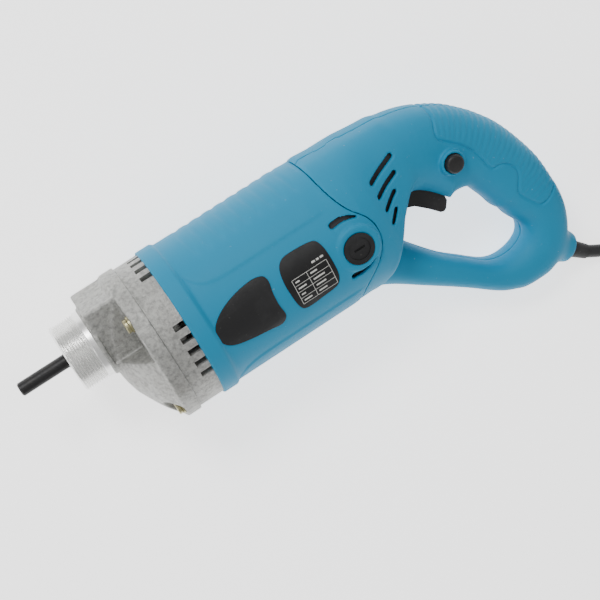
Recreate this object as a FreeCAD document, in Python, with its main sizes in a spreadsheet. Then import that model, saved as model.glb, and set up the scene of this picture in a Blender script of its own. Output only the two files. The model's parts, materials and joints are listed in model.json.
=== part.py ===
"""Hand-held electric drive unit of a concrete vibrator, lying on its side with its mains cord coiled.

Everything is laid out in the tool's own axes, in millimetres:
  X  along the motor axis, from the drive nose (negative) to the rear handle (positive);
     X = 0 is the front edge of the plastic motor housing
  Y  from the underside of the tool to its top
  Z  from the far side of the tool to its near side
The rest placement then rolls the whole tool onto its far side, so that the flange of the gear case,
the far brush boss and the bend of the handle stand on the ground plane, with +Z up.
"""
import FreeCAD, Part
import Sketcher
import math
import os
import re

V = FreeCAD.Vector
AXIS_TURN = {
    "X": FreeCAD.Rotation(V(0, 1, 0), 90),
    "Y": FreeCAD.Rotation(V(1, 0, 0), -90),
    "Z": FreeCAD.Rotation(),
}

doc = FreeCAD.newDocument("ConcreteVibrator")

# ---------------------------------------------------------------- driving dimensions
SIZES = {
    # rest placement
    "housing_front_x": -73.4,
    "axis_y": 30.2,
    "axis_height": 46.2,
    "roll_angle": 20.0,
    # thread collar and drive spindle
    "spindle_offset": 18.0,
    "collar_radius": 20.0,
    "collar_front": -62.6,
    "collar_back": -44.5,
    "collar_spigot_radius": 16.0,
    "collar_spigot_back": -35.0,
    "nose_radius": 4.0,
    "nose_tip": -92.8,
    "nose_chamfer": 0.8,
    "seal_seat_radius": 4.6,
    "seal_seat_front": -63.2,
    "shaft_radius": 6.0,
    "shaft_step": -60.0,
    "spindle_journal_radius": 5.0,
    "spindle_journal_front": -17.0,
    "spindle_end": -8.5,
    "seal_back": -60.3,
    "running_clearance": 0.04,
    # gears, module 1
    "gear_tip_radius": 14.8,
    "gear_root_radius": 12.8,
    "gear_teeth": 28,
    "pinion_tip_radius": 4.75,
    "pinion_root_radius": 2.8,
    "pinion_teeth": 8,
    "gear_front": -32.0,
    "gear_back": -24.0,
    # gear case
    "case_front": -43.0,
    "case_back": -15.0,
    "flange_front": -24.0,
    "flange_radius": 46.2,
    "case_ring_radius": 21.2,
    "case_ring_thickness": 1.6,
    "case_top": 42.0,
    "tower_half_width": 17.4,
    "gear_pocket_radius": 16.4,
    "gear_pocket_front": -34.5,
    # bearing shield
    "shield_radius": 44.9,
    "shield_inner_radius": 37.5,
    "shield_web_back": -3.0,
    "shield_spigot_radius": 43.2,
    "shield_spigot_back": 6.0,
    "vent_width": 3.6,
    "vent_front": -7.0,
    "vent_pitch_angle": 9.9,
    # motor housing
    "lip_radius": 46.2,
    "lip_length": 10.0,
    "housing_radius": 44.1,
    "housing_inner_radius": 41.0,
    "brush_place": 101.2,
    "boss_radius": 13.4,
    "boss_face": 44.28,
    "web_front": 110.6,
    "web_back": 121.0,
    # fasteners
    "case_screw_circle": 40.6,
    "case_screw_head_radius": 4.1,
    "case_screw_radius": 2.0,
    "case_screw_end": 12.0,
    # motor
    "front_bearing_radius": 16.0,
    "front_bearing_front": -6.5,
    "front_bearing_back": 1.8,
    "rear_journal_radius": 4.0,
    "rear_bearing_radius": 11.0,
    "rear_bearing_front": 113.0,
    "rear_bearing_back": 120.0,
    "armature_end": 120.5,
    "fan_front": 2.6,
    "fan_back": 13.0,
    "fan_radius": 34.5,
    "stack_front": 27.0,
    "stack_back": 77.0,
    "armature_radius": 23.5,
    "stator_bore_radius": 24.1,
    "commutator_front": 92.0,
    "commutator_back": 110.0,
    "commutator_radius": 15.0,
    # handle
    "shell_wall": 2.6,
    "trigger_pivot_x": 147.0,
    "trigger_pivot_y": -1.0,
    "trigger_half_width": 7.8,
    "trigger_slot_half_width": 8.6,
    "trigger_slot_front": 142.0,
    "trigger_slot_back": 172.6,
    "trigger_pin_radius": 1.5,
    "button_x": 176.1,
    "button_y": 2.6,
    "button_radius": 5.5,
    "button_top": 27.6,
    "button_ring_radius": 7.6,
    "button_ring_top": 24.4,
    # mains cord
    "cord_radius": 4.0,
    "coil_outer_radius": 49.0,
    "coil_inner_radius": 24.0,
    "coil_height": 24.4,
}

sheet = doc.addObject("Spreadsheet::Sheet", "Sizes")
for row, (alias, value) in enumerate(SIZES.items(), start=1):
    sheet.set(f"A{row}", alias)
    sheet.set(f"B{row}", str(value))
    sheet.setAlias(f"B{row}", alias)
doc.recompute()


def size(alias):
    """The value of one driving dimension, read back from the sheet."""
    return float(sheet.get(alias))


def bind(target, prop, formula):
    """Binds a property to a formula in the aliases of the sheet."""
    target.setExpression(prop, re.sub(r"[a-z]\w*", lambda word: "Sizes." + word.group(0), str(formula)))


REST = FreeCAD.Placement(
    V(size("housing_front_x"), size("axis_y"), size("axis_height")),
    FreeCAD.Rotation(V(1, 0, 0), size("roll_angle")))
GROUND = FreeCAD.Placement()
sub_parts = []


# ---------------------------------------------------------------- ways of making a piece
def locate(solid, x, y, z, axis):
    """Turns a primitive so that its length runs along an axis, and binds where it starts."""
    solid.Placement = FreeCAD.Placement(V(), AXIS_TURN[axis])
    for prop, formula in ((".Placement.Base.x", x), (".Placement.Base.y", y), (".Placement.Base.z", z)):
        bind(solid, prop, formula)
    return solid


def cylinder(radius, start, end, y=0, z=0, axis="X", x=0):
    """A cylinder from start to end along its axis; the other two coordinates place the axis."""
    solid = doc.addObject("Part::Cylinder", "cylinder")
    bind(solid, "Radius", radius)
    bind(solid, "Height", f"({end}) - ({start})")
    where = {"X": (start, y, z), "Y": (x, start, z), "Z": (x, y, start)}[axis]
    return locate(solid, *where, axis)


def cone(start_radius, end_radius, start, end, y=0, z=0, axis="X", x=0):
    """A cone from start to end along its axis, with a radius at each end."""
    solid = doc.addObject("Part::Cone", "cone")
    bind(solid, "Radius1", start_radius)
    bind(solid, "Radius2", end_radius)
    bind(solid, "Height", f"({end}) - ({start})")
    where = {"X": (start, y, z), "Y": (x, start, z), "Z": (x, y, start)}[axis]
    return locate(solid, *where, axis)


def box(x0, x1, y0, y1, z0, z1):
    """A box between two values on each of the three axes."""
    solid = doc.addObject("Part::Box", "box")
    bind(solid, "Length", f"({x1}) - ({x0})")
    bind(solid, "Width", f"({y1}) - ({y0})")
    bind(solid, "Height", f"({z1}) - ({z0})")
    return locate(solid, x0, y0, z0, "Z")


def made_by_code(shape, name="shape"):
    """Takes in a shape that is worked out from the dimensions instead of a feature."""
    feature = doc.addObject("Part::Feature", name)
    feature.Shape = shape
    return feature


def fuse(*solids):
    """The union of several solids."""
    union = doc.addObject("Part::MultiFuse", "fuse")
    union.Shapes = list(solids)
    return union


def cut(base, *tools):
    """A solid with others taken out of it."""
    remainder = doc.addObject("Part::Cut", "cut")
    remainder.Base = base
    remainder.Tool = tools[0] if len(tools) == 1 else fuse(*tools)
    return remainder


def common(first, second):
    """What two solids share."""
    shared = doc.addObject("Part::Common", "common")
    shared.Base = first
    shared.Tool = second
    return shared


def group(*solids):
    """Separate solids in one node, or one primitive that needs a placement of its own."""
    compound = doc.addObject("Part::Compound", "group")
    compound.Links = list(solids)
    return compound


def sub_part(label, solid, placement=None):
    """Names a finished piece and sets it at rest."""
    solid.Label = label
    solid.Placement = (placement or REST) * solid.Placement
    sub_parts.append(solid)
    return solid


def body_from_profile(name, points, half_width):
    """A PartDesign pad, symmetric about Z = 0, of a closed outline of (x, y) points."""
    body = doc.addObject("PartDesign::Body", name)
    sketch = body.newObject("Sketcher::SketchObject", name + "_outline")
    plane = [feature for feature in body.Origin.OriginFeatures if feature.Role == "XY_Plane"][0]
    sketch.AttachmentSupport = [(plane, "")]
    sketch.MapMode = "FlatFace"
    corners = [V(x, y, 0) for x, y in points]
    for first, second in zip(corners, corners[1:] + corners[:1]):
        sketch.addGeometry(Part.LineSegment(first, second), False)
    for edge in range(len(corners)):
        following = (edge + 1) % len(corners)
        sketch.addConstraint(Sketcher.Constraint("Coincident", edge, 2, following, 1))
        sketch.addConstraint(Sketcher.Constraint("Block", edge))
    doc.recompute()
    pad = body.newObject("PartDesign::Pad", name + "_pad")
    pad.Profile = sketch
    pad.Midplane = True
    bind(pad, "Length", f"2 * {half_width}")
    body.Tip = pad
    return body


def smooth_outline(points):
    """A closed smooth wire in the XY plane through (x, y) points."""
    curve = Part.BSplineCurve()
    curve.interpolate([V(x, y, 0) for x, y in points], PeriodicFlag=True)
    return Part.Wire(curve.toShape())


# ---------------------------------------------------------------- drive end
def thread_collar():
    """Turned aluminium collar, with a 40 mm thread, that the flexible shaft's nut screws onto."""
    turned = fuse(
        cylinder("collar_radius", "collar_front + 0.8", "collar_back", y="spindle_offset"),
        cone("collar_radius - 0.8", "collar_radius", "collar_front", "collar_front + 0.8",
             y="spindle_offset"),
        cylinder("collar_spigot_radius", "collar_back", "collar_spigot_back", y="spindle_offset"),
    )
    sub_part("thread_collar", cut(
        turned,
        cylinder(14, "collar_front", -49, y="spindle_offset"),
        cylinder(11, -49, "collar_spigot_back", y="spindle_offset"),
    ))


def drive_spindle():
    """Output shaft: the round drive nose, the bearing seats and the gear seat, in one turned piece."""
    sub_part("drive_spindle", fuse(
        cone("nose_radius - nose_chamfer", "nose_radius", "nose_tip", "nose_tip + nose_chamfer",
             y="spindle_offset"),
        cylinder("nose_radius", "nose_tip + nose_chamfer", "seal_seat_front", y="spindle_offset"),
        cylinder("seal_seat_radius", "seal_seat_front", "shaft_step", y="spindle_offset"),
        cylinder("shaft_radius", "shaft_step", "spindle_journal_front", y="spindle_offset"),
        cylinder("spindle_journal_radius", "spindle_journal_front", "spindle_end", y="spindle_offset"),
    ))


def gear_shape(teeth, tip_radius, root_radius, bore_radius, front, back, centre_y, first_angle):
    """A spur gear with straight-flanked teeth and a little backlash, along X."""
    pitch_angle = 2 * math.pi / teeth
    corners = []
    for tooth in range(teeth):
        middle = first_angle + tooth * pitch_angle
        flank = ((root_radius, -0.30), (tip_radius, -0.11), (tip_radius, 0.11), (root_radius, 0.30))
        for radius, share in flank:
            angle = middle + share * pitch_angle
            corners.append(V(front, centre_y + radius * math.cos(angle), radius * math.sin(angle)))
    blank = Part.Face(Part.makePolygon(corners + corners[:1])).extrude(V(back - front, 0, 0))
    if bore_radius:
        blank = blank.cut(Part.makeCylinder(bore_radius, back - front, V(front, centre_y, 0), V(1, 0, 0)))
    return blank


def spindle_gear():
    """Large spur gear on the drive spindle."""
    sub_part("spindle_gear", made_by_code(gear_shape(
        int(size("gear_teeth")), size("gear_tip_radius"), size("gear_root_radius"), size("shaft_radius"),
        size("gear_front"), size("gear_back"), size("spindle_offset"), math.pi)))


def shaft_bearing(label, outer_radius, bore_radius, front, back, y=0):
    """A ball bearing as one ring between a shaft and its seat."""
    sub_part(label, cut(
        cylinder(outer_radius, front, back, y=y),
        cylinder(f"{bore_radius} + running_clearance", front, back, y=y),
    ))


def spindle_seal():
    """Rubber lip seal round the spindle, pressed into the mouth of the collar."""
    sub_part("spindle_seal", cut(
        cylinder(14, "collar_front + 0.6", "seal_back", y="spindle_offset"),
        cylinder("seal_seat_radius + running_clearance", "collar_front + 0.6", "seal_back",
                 y="spindle_offset"),
    ))


def gear_circlip():
    """Ring that keeps the spindle gear on its seat."""
    sub_part("gear_circlip", cut(
        cylinder(8.4, "gear_back", "gear_back + 1", y="spindle_offset"),
        cylinder("shaft_radius", "gear_back", "gear_back + 1", y="spindle_offset"),
    ))


def case_screw_places():
    """Y and Z of the four case screws, at 45 degrees round the motor axis."""
    reach = size("case_screw_circle") * math.sqrt(0.5)
    return [(a * reach, b * reach) for a in (1, -1) for b in (1, -1)]


def gear_case():
    """Cast front case: round flange, domed front, and a flat-topped tower round the spindle."""
    dome_profile = Part.Wire([
        Part.LineSegment(V(size("flange_front"), 0, 0), V(size("case_front") + 0.5, 0, 0)).toShape(),
        Part.LineSegment(V(size("case_front") + 0.5, 0, 0), V(size("case_front") + 0.5, 14, 0)).toShape(),
        Part.Arc(
            V(size("case_front") + 0.5, 14, 0), V(-34.0, 31.0, 0), V(size("flange_front"), 45.6, 0)).toShape(),
        Part.LineSegment(V(size("flange_front"), 45.6, 0), V(size("flange_front"), 0, 0)).toShape(),
    ])
    dome = made_by_code(Part.Face(dome_profile).revolve(V(), V(1, 0, 0), 360), "dome")
    outside = fuse(
        cylinder("flange_radius", "flange_front", "case_back"),
        dome,
        box("case_front", "flange_front", 0, "case_top", "-tower_half_width", "tower_half_width"),
        cylinder("case_ring_radius", "case_front", "flange_front", y="spindle_offset"),
    )
    flat_top = cut(outside, box("case_front - 1", "flange_front", "case_top", 60, -60, 60))
    ring = cylinder("case_ring_radius", "case_front - case_ring_thickness + 0.1", "case_front",
                    y="spindle_offset")
    screw_clearance = []
    for y, z in case_screw_places():
        screw_clearance.append(
            cylinder("case_screw_head_radius + 2.6", "case_front - 1", "flange_front", y=y, z=z))
        screw_clearance.append(cylinder("case_screw_radius + 0.3", "flange_front", "case_back", y=y, z=z))
    sub_part("gear_case", cut(
        fuse(flat_top, ring),
        cylinder("collar_spigot_radius", "case_front - 2", "gear_pocket_front", y="spindle_offset"),
        cylinder("gear_pocket_radius", "gear_pocket_front", "case_back", y="spindle_offset"),
        cylinder("pinion_tip_radius + 3", "gear_pocket_front", "case_back"),
        *screw_clearance,
    ))


def vent_slots(front, back, centre_angle, inner_radius, outer_radius):
    """Five radial slots round the motor axis, spread evenly about a centre angle."""
    slots = []
    width = size("vent_width")
    for step in range(-2, 3):
        angle = centre_angle + step * size("vent_pitch_angle")
        corner = V(front, -width / 2, inner_radius)
        slot = Part.makeBox(back - front, width, outer_radius - inner_radius, corner)
        slot.rotate(V(), V(1, 0, 0), -angle)
        slots.append(made_by_code(slot, "vent"))
    return slots


def bearing_shield():
    """Cast intermediate plate: carries three bearings, and its rim holds the air outlets."""
    outside = fuse(
        cylinder("shield_radius", "case_back", 0),
        cylinder("shield_spigot_radius", 0, "shield_spigot_back"),
    )
    hub = cylinder("front_bearing_radius + 3", "shield_web_back - 0.5", "front_bearing_back - 0.4")
    slots = []
    for centre_angle in (4, 88, 184, 268):
        slots += vent_slots(size("vent_front"), 0, centre_angle, 35, 48)
    screw_holes = [cylinder("case_screw_radius + 0.3", "case_back", "shield_spigot_back", y=y, z=z)
                   for y, z in case_screw_places()]
    rim = cut(outside, cylinder("shield_inner_radius", "shield_web_back", "shield_spigot_back"), *slots)
    sub_part("bearing_shield", cut(
        fuse(rim, hub),
        cylinder("front_bearing_radius", "front_bearing_front", "front_bearing_back"),
        cylinder("shaft_radius", "case_back", "front_bearing_front"),
        cylinder(11, "case_back", "spindle_end + 0.5", y="spindle_offset"),
        *screw_holes,
    ))


def case_screws():
    """Four screws that hold the gear case and the bearing shield to the housing."""
    screws = []
    for y, z in case_screw_places():
        screws.append(fuse(
            cylinder("case_screw_head_radius", "flange_front - 3.4", "flange_front - 1", y=y, z=z),
            cylinder("case_screw_radius", "flange_front - 1", "case_screw_end", y=y, z=z),
        ))
    sub_part("case_screws", group(*screws))


def case_washers():
    """A washer under the head of each case screw."""
    washers = []
    for y, z in case_screw_places():
        washers.append(cut(
            cylinder("case_screw_head_radius + 0.8", "flange_front - 1", "flange_front", y=y, z=z),
            cylinder("case_screw_radius", "flange_front - 1", "flange_front", y=y, z=z),
        ))
    sub_part("case_washers", group(*washers))


# ---------------------------------------------------------------- motor
def armature_shaft():
    """Motor shaft with the pinion cut on its front end."""
    pinion = made_by_code(gear_shape(
        int(size("pinion_teeth")), size("pinion_tip_radius"), size("pinion_root_radius"), 0,
        size("gear_front") - 1, size("gear_back") + 1, 0, math.pi / size("pinion_teeth")), "pinion")
    sub_part("armature_shaft", fuse(
        pinion,
        cylinder("shaft_radius - 1.5", "gear_back + 1", "front_bearing_front - 1"),
        cylinder("shaft_radius", "front_bearing_front - 1", "rear_bearing_front - 1"),
        cylinder("rear_journal_radius", "rear_bearing_front - 1", "armature_end"),
    ))


def armature_core():
    """Laminated core with twelve winding slots."""
    slots = []
    for step in range(12):
        slot = Part.makeBox(size("stack_back") - size("stack_front"), 2.4, 9,
                            V(size("stack_front"), -1.2, size("armature_radius") - 8.5))
        slot.rotate(V(), V(1, 0, 0), 30 * step)
        slots.append(made_by_code(slot, "winding_slot"))
    sub_part("armature_core", cut(
        cylinder("armature_radius", "stack_front", "stack_back"),
        cylinder("shaft_radius", "stack_front", "stack_back"),
        *slots,
    ))


def armature_windings():
    """The two end turns of the armature winding."""
    ends = []
    for front, back in (("stack_front - 9", "stack_front"), ("stack_back", "commutator_front - 1")):
        ends.append(cut(
            cylinder("armature_radius - 2.5", front, back),
            cylinder("shaft_radius", front, back),
        ))
    sub_part("armature_windings", group(*ends))


def commutator():
    """Copper bars of the armature, in one ring."""
    segments = cut(
        fuse(
            cylinder("commutator_radius", "commutator_front", "commutator_back"),
            cylinder("commutator_radius + 2", "commutator_front - 1", "commutator_front + 2"),
        ),
        cylinder("shaft_radius", "commutator_front - 1", "commutator_back"),
    )
    sub_part("commutator", segments)


def cooling_fan():
    """Centrifugal fan: hub, back plate and nine straight blades, on the front of the armature."""
    blades = []
    for step in range(9):
        blade = Part.makeBox(size("fan_back") - size("fan_front") - 1.5, 1.8, 23,
                             V(size("fan_front") + 1.5, 3, 11))
        blade.rotate(V(), V(1, 0, 0), 40 * step)
        blades.append(made_by_code(blade, "blade"))
    sub_part("cooling_fan", cut(
        fuse(
            cylinder("fan_radius", "fan_front", "fan_front + 1.6"),
            cylinder(12, "fan_front", "fan_back"),
            *blades,
        ),
        cylinder("shaft_radius", "fan_front", "fan_back"),
    ))


def air_baffle():
    """Ring that leads the cooling air into the fan."""
    sub_part("air_baffle", cut(
        cylinder("housing_inner_radius", "case_screw_end + 3.5", "case_screw_end + 5.5"),
        cylinder(28, "case_screw_end + 3.5", "case_screw_end + 5.5"),
    ))


def stator_core():
    """Laminated stator, pressed into the motor housing, with a window each side for the coils."""
    sub_part("stator_core", cut(
        cylinder("housing_inner_radius", "stack_front", "stack_back"),
        cylinder("stator_bore_radius", "stack_front", "stack_back"),
        box("stack_front", "stack_back", -12, 12, 20, 34),
        box("stack_front", "stack_back", -12, 12, -34, -20),
    ))


def field_coils():
    """Two wound coils; each goes through both windows and round the ends of a pole."""
    coils = []
    for side in (1, -1):
        near, far = sorted((side * 1.0, side * 11.0))
        sides = [
            box("stack_front - 7", "stack_back + 7", near, far, *span)
            for span in ((26, 33.5), (-33.5, -26))
        ]
        ends = [cut(
            cylinder(33.5, start, end),
            cylinder(26, start, end),
            box(start, end, -40, 0.5, -40, 40) if side > 0 else box(start, end, -0.5, 40, -40, 40),
        ) for start, end in (("stack_front - 7", "stack_front - 1"), ("stack_back + 1", "stack_back + 7"))]
        coils.append(fuse(*sides, *ends))
    sub_part("field_coils", group(*coils))


def brush_parts():
    """Carbon brushes with their springs, holders and screw caps, one set on each side."""
    place = "brush_place"
    holders = []
    brushes = []
    springs = []
    caps = []
    for side in (1, -1):
        def span(inner, outer):
            """Limits along Z on this side of the tool, from the axis outwards."""
            return (inner, outer) if side > 0 else (f"-({outer})", f"-({inner})")
        tube = fuse(
            cylinder(6.6, *span(17, 43.4), axis="Z", x=place),
            cylinder(9, *span(43.2, "boss_face + 0.3"), axis="Z", x=place),
        )
        holders.append(cut(
            tube,
            box(f"{place} - 4.1", f"{place} + 4.1", -3.1, 3.1, *span(17, 40)),
            cylinder(6.4, *span(40, "boss_face + 0.3"), axis="Z", x=place),
        ))
        brushes.append(box(f"{place} - 4", f"{place} + 4", -3, 3, *span("commutator_radius + 0.05", 29)))
        springs.append(cut(
            cylinder(2.6, *span(29, 40.5), axis="Z", x=place),
            cylinder(1.7, *span(29, 40.5), axis="Z", x=place),
        ))
        caps.append(cut(
            cylinder(6.3, *span(40.6, "boss_face"), axis="Z", x=place),
            box(f"{place} - 3.3", f"{place} + 3.3", -0.7, 0.7, *span("boss_face - 1.2", "boss_face + 1")),
        ))
    sub_part("brush_holders", group(*holders))
    sub_part("carbon_brushes", group(*brushes))
    sub_part("brush_springs", group(*springs))
    sub_part("brush_caps", group(*caps))


# ---------------------------------------------------------------- housing and handle outside form
def section(centre, along, half_height, half_width, power=2.4):
    """A closed rounded section: half_height along a direction in XY, half_width along Z."""
    points = []
    for step in range(16):
        angle = math.pi / 8 * (step + 0.5)
        c = math.cos(angle)
        s = math.sin(angle)
        u = half_height * math.copysign(abs(c) ** (2 / power), c)
        w = half_width * math.copysign(abs(s) ** (2 / power), s)
        points.append(centre + along * u + V(0, 0, w))
    curve = Part.BSplineCurve()
    curve.interpolate(points, PeriodicFlag=True)
    return Part.Wire(curve.toShape())


# Shoulder between the round housing and the handle: X, centre height, half height, half width.
SHOULDER = (
    (96.0, 0.0, 44.0, 44.0, 2.0),
    (104.0, 0.0, 43.9, 43.5, 2.0),
    (113.0, -1.2, 44.0, 41.6, 2.05),
    (122.0, -4.4, 47.6, 37.6, 2.1),
    (129.0, -7.4, 50.6, 32.6, 2.2),
    (134.0, -9.5, 52.0, 28.0, 2.3),
)

# Handle loop, section by section from the arm round to the strut:
# a point on the outside edge, the point facing it on the inside edge, and the half width.
LOOP = (
    ((131.0, 42.6), (129.0, -18.0), 28.0),
    ((145.0, 41.2), (143.5, -13.5), 26.0),
    ((161.0, 39.4), (156.0, -12.5), 23.5),
    ((180.0, 33.2), (169.0, -21.5), 21.5),
    ((201.5, 18.0), (180.0, -23.5), 19.5),
    ((215.0, 1.5), (186.8, -28.5), 18.5),
    ((225.0, -17.5), (191.8, -39.0), 18.0),
    ((231.0, -35.5), (197.0, -49.0), 17.5),
    ((233.6, -55.0), (202.5, -60.0), 17.0),
    ((232.5, -75.0), (203.8, -69.0), 16.0),
    ((222.0, -95.0), (200.0, -75.0), 15.4),
    ((205.0, -103.6), (192.0, -77.4), 15.0),
    ((184.0, -100.6), (181.0, -76.6), 14.0),
    ((167.0, -90.2), (171.5, -70.2), 13.4),
    ((150.0, -76.0), (159.5, -60.0), 13.4),
    ((134.0, -64.0), (147.5, -48.0), 15.0),
    ((121.0, -54.0), (136.0, -37.0), 19.0),
)


def shoulder_form(inset):
    """Where the round housing runs out into the hood of the handle."""
    wires = [section(V(x, y, 0), V(0, 1, 0), a - inset, b - inset, power) for x, y, a, b, power in SHOULDER]
    return Part.makeLoft(wires, True, False)


def loop_form(inset):
    """The closed D-shaped loop of the handle."""
    wires = []
    for outside, inside, half_width in LOOP:
        outer = V(*outside, 0)
        inner = V(*inside, 0)
        along = outer - inner
        half_height = along.Length / 2 - inset
        along.normalize()
        wires.append(section((outer + inner) * 0.5, along, half_height, half_width - inset))
    lofts = [Part.makeLoft(wires[first:first + 3], True, False) for first in range(0, len(wires) - 1, 2)]
    return lofts[0].multiFuse(lofts[1:])


# Rear edge of the motor housing, seen from the side: an S round the brush cap.
HOUSING_EDGE = (
    (99.0, 60.0), (100.2, 42.8), (102.2, 31.0), (106.5, 21.0), (113.6, 11.5), (116.2, 2.0),
    (114.4, -6.5), (108.0, -15.0), (99.0, -24.5), (92.5, -36.0), (90.0, -60.0),
)


def housing_edge_form():
    """Everything in front of the rear edge of the motor housing."""
    curve = Part.BSplineCurve()
    curve.interpolate([V(x, y, -60) for x, y in HOUSING_EDGE])
    last_x, last_y = HOUSING_EDGE[-1]
    first_x, first_y = HOUSING_EDGE[0]
    corners = [V(last_x, last_y, -60), V(-10, last_y, -60), V(-10, first_y, -60), V(first_x, first_y, -60)]
    straights = [Part.LineSegment(a, b).toShape() for a, b in zip(corners, corners[1:])]
    wire = Part.Wire([curve.toShape()] + straights)
    return Part.Face(wire).extrude(V(0, 0, 120))


def rod(radius, start, end, origin=V(), direction=V(1, 0, 0)):
    """A cylinder along a direction, from one distance to another."""
    return Part.makeCylinder(radius, end - start, origin + direction * start, direction)


def tube(outer_radius, inner_radius, start, end):
    """A ring-shaped bore or sleeve along X."""
    return rod(outer_radius, start, end).cut(rod(inner_radius, start, end))


def motor_housing(shoulder_shell):
    """One-piece plastic tube with a raised front lip, the brush bosses and the rear bearing seat."""
    inner = size("housing_inner_radius")
    lip = tube(size("lip_radius"), inner, 0, size("lip_length"))
    barrel = tube(size("housing_radius"), inner, size("lip_length"), SHOULDER[0][0])
    shoulder = shoulder_shell.common(housing_edge_form())
    cup = rod(size("rear_bearing_radius") + 3, size("web_front"), size("web_back"))
    arms = Part.makeBox(3.5, 16, 80, V(size("web_front"), -8, -40))
    place = size("brush_place")
    solid = lip.fuse(barrel).fuse(shoulder).fuse(cup.fuse(arms))
    for side in (1, -1):
        solid = solid.fuse(rod(size("boss_radius"), 36, size("boss_face"), V(place, 0, 0), V(0, 0, side)))
        solid = solid.cut(rod(6.6, 17, 44, V(place, 0, 0), V(0, 0, side)))
        solid = solid.cut(rod(9, 43.2, 50, V(place, 0, 0), V(0, 0, side)))
    for y, z in case_screw_places():
        solid = solid.fuse(rod(4.4, size("shield_spigot_back") + 0.2, size("case_screw_end") + 3, V(0, y, z)))
        solid = solid.cut(rod(size("case_screw_radius"), 0, size("case_screw_end"), V(0, y, z)))
    solid = solid.cut(rod(size("shield_spigot_radius"), 0, size("shield_spigot_back")))
    solid = solid.cut(rod(size("rear_bearing_radius"), size("web_front"), size("rear_bearing_back")))
    solid = solid.cut(rod(size("rear_journal_radius") + 1.5, size("web_front"), size("web_back")))
    sub_part("motor_housing", made_by_code(solid, "housing"))


def handle_vents():
    """Four slanted air inlets through both sides of the shoulder: front end and rear end of each."""
    slots = []
    for front, rear in (((127.5, 21.0), (144.0, 25.8)), ((127.5, 13.0), (141.5, 16.6)),
                        ((127.8, 5.2), (137.8, 8.4)), ((127.6, -2.0), (133.6, 0.4))):
        start = V(*front, 0)
        run = V(*rear, 0) - start
        slot = Part.makeBox(run.Length, 2.6, 120, V(0, -1.3, -60))
        slot.rotate(V(), V(0, 0, 1), math.degrees(math.atan2(run.y, run.x)))
        slot.translate(start)
        slots.append(slot)
    return slots


HANDLE_SCREW_PLACES = (
    (124.0, 33.0), (168.0, 27.0), (209.0, -30.0), (222.0, -70.0), (160.0, -73.5), (128.0, -48.0),
)


# The cord leaves the handle through a tapered boss at the foot of the grip.
CORD_BOSS_ROOT = V(212.5, -82.5, 0)
CORD_BOSS_END = V(227.8, -100.4, 0)


def tapered_rod(start, end, start_radius, end_radius):
    """A round rod between two points, straight or tapered."""
    run = end - start
    if start_radius == end_radius:
        return Part.makeCylinder(start_radius, run.Length, start, run)
    return Part.makeCone(start_radius, end_radius, run.Length, start, run)


def handle_forms():
    """The hollow shoulder, the hollow shoulder and loop together, and the space that they fill."""
    wall = size("shell_wall")
    shoulder_outside = shoulder_form(0)
    shoulder_inside = shoulder_form(wall)
    boss = tapered_rod(CORD_BOSS_ROOT, CORD_BOSS_END, 13.5, 8.8)
    outside = shoulder_outside.multiFuse([loop_form(0), boss])
    inside = shoulder_inside.multiFuse([loop_form(wall)])
    return shoulder_outside.cut(shoulder_inside), outside.cut(inside), outside


def handle_half(label, side, handle_shell, handle_space):
    """One half of the hollow handle; the halves meet on Z = 0."""
    half = handle_shell.cut(housing_edge_form())
    half = half.common(Part.makeBox(170, 185, 60, V(80, -125, 0 if side > 0 else -60)))
    towards = V(0, 0, side)
    for x, y in HANDLE_SCREW_PLACES:
        half = half.fuse(rod(4.2, 0, 60, V(x, y, 0), towards).common(handle_space))
        half = half.cut(rod(1.6, 0, 9, V(x, y, 0), towards))
        if side < 0:
            half = half.cut(rod(3.4, 9, 60, V(x, y, 0), towards))
    if side > 0:
        button = V(size("button_x"), size("button_y"), 0)
        half = half.fuse(rod(size("button_ring_radius"), 17.5, size("button_ring_top"), button, towards))
        half = half.cut(rod(size("button_radius") + 0.15, 5, 40, button, towards))
    slot_front = size("trigger_slot_front")
    slot_half_width = size("trigger_slot_half_width")
    slot_length = size("trigger_slot_back") - slot_front
    half = half.cut(Part.makeBox(slot_length, 26, 2 * slot_half_width, V(slot_front, -30, -slot_half_width)))
    half = half.cut(tapered_rod(CORD_BOSS_ROOT, CORD_BOSS_END * 2 - CORD_BOSS_ROOT, 5.6, 5.6))
    half = half.cut(rod(size("rear_bearing_radius") + 3.5, 96, size("web_back") + 0.4))
    half = half.cut(Part.makeBox(size("web_front") + 4 - 96, 17, 81, V(96, -8.5, -40.5)))
    for slot in handle_vents():
        half = half.cut(slot)
    sub_part(label, made_by_code(half, "half"))


def handle_screws():
    """Self-tapping screws, driven from the far side into the bosses of the near half."""
    screws = []
    for x, y in HANDLE_SCREW_PLACES:
        screws.append(fuse(
            cylinder(3.2, -11.4, -9, axis="Z", x=x, y=y),
            cylinder(1.6, -9, 9, axis="Z", x=x, y=y),
        ))
    sub_part("handle_screws", group(*screws))


# ---------------------------------------------------------------- plates on the housing
PAD_OUTLINE = (
    (10.5, 1.5), (12.2, 7.0), (17.8, 11.8), (27.3, 15.7), (37.6, 17.6), (45.4, 17.4), (48.6, 15.8), (49.4, 12.5),
    (48.5, 8.0), (47.9, 2.6), (48.2, -4.4), (48.3, -10.8), (45.6, -13.2), (39.5, -12.8), (30.2, -11.3),
    (21.1, -9.4), (14.8, -6.8), (11.5, -3.2),
)
PLATE_OUTLINE = (
    (56.0, 7.2), (56.9, 12.4), (58.6, 16.0), (61.9, 18.3), (66.6, 18.9), (73.3, 18.7), (79.5, 18.0), (82.2, 16.9),
    (83.8, 14.1), (84.8, 7.9), (85.0, -0.2), (84.1, -8.3), (82.3, -11.4), (77.8, -12.8), (70.9, -13.4),
    (63.2, -13.9), (59.3, -12.9), (57.4, -9.5), (56.2, -1.5),
)


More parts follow.
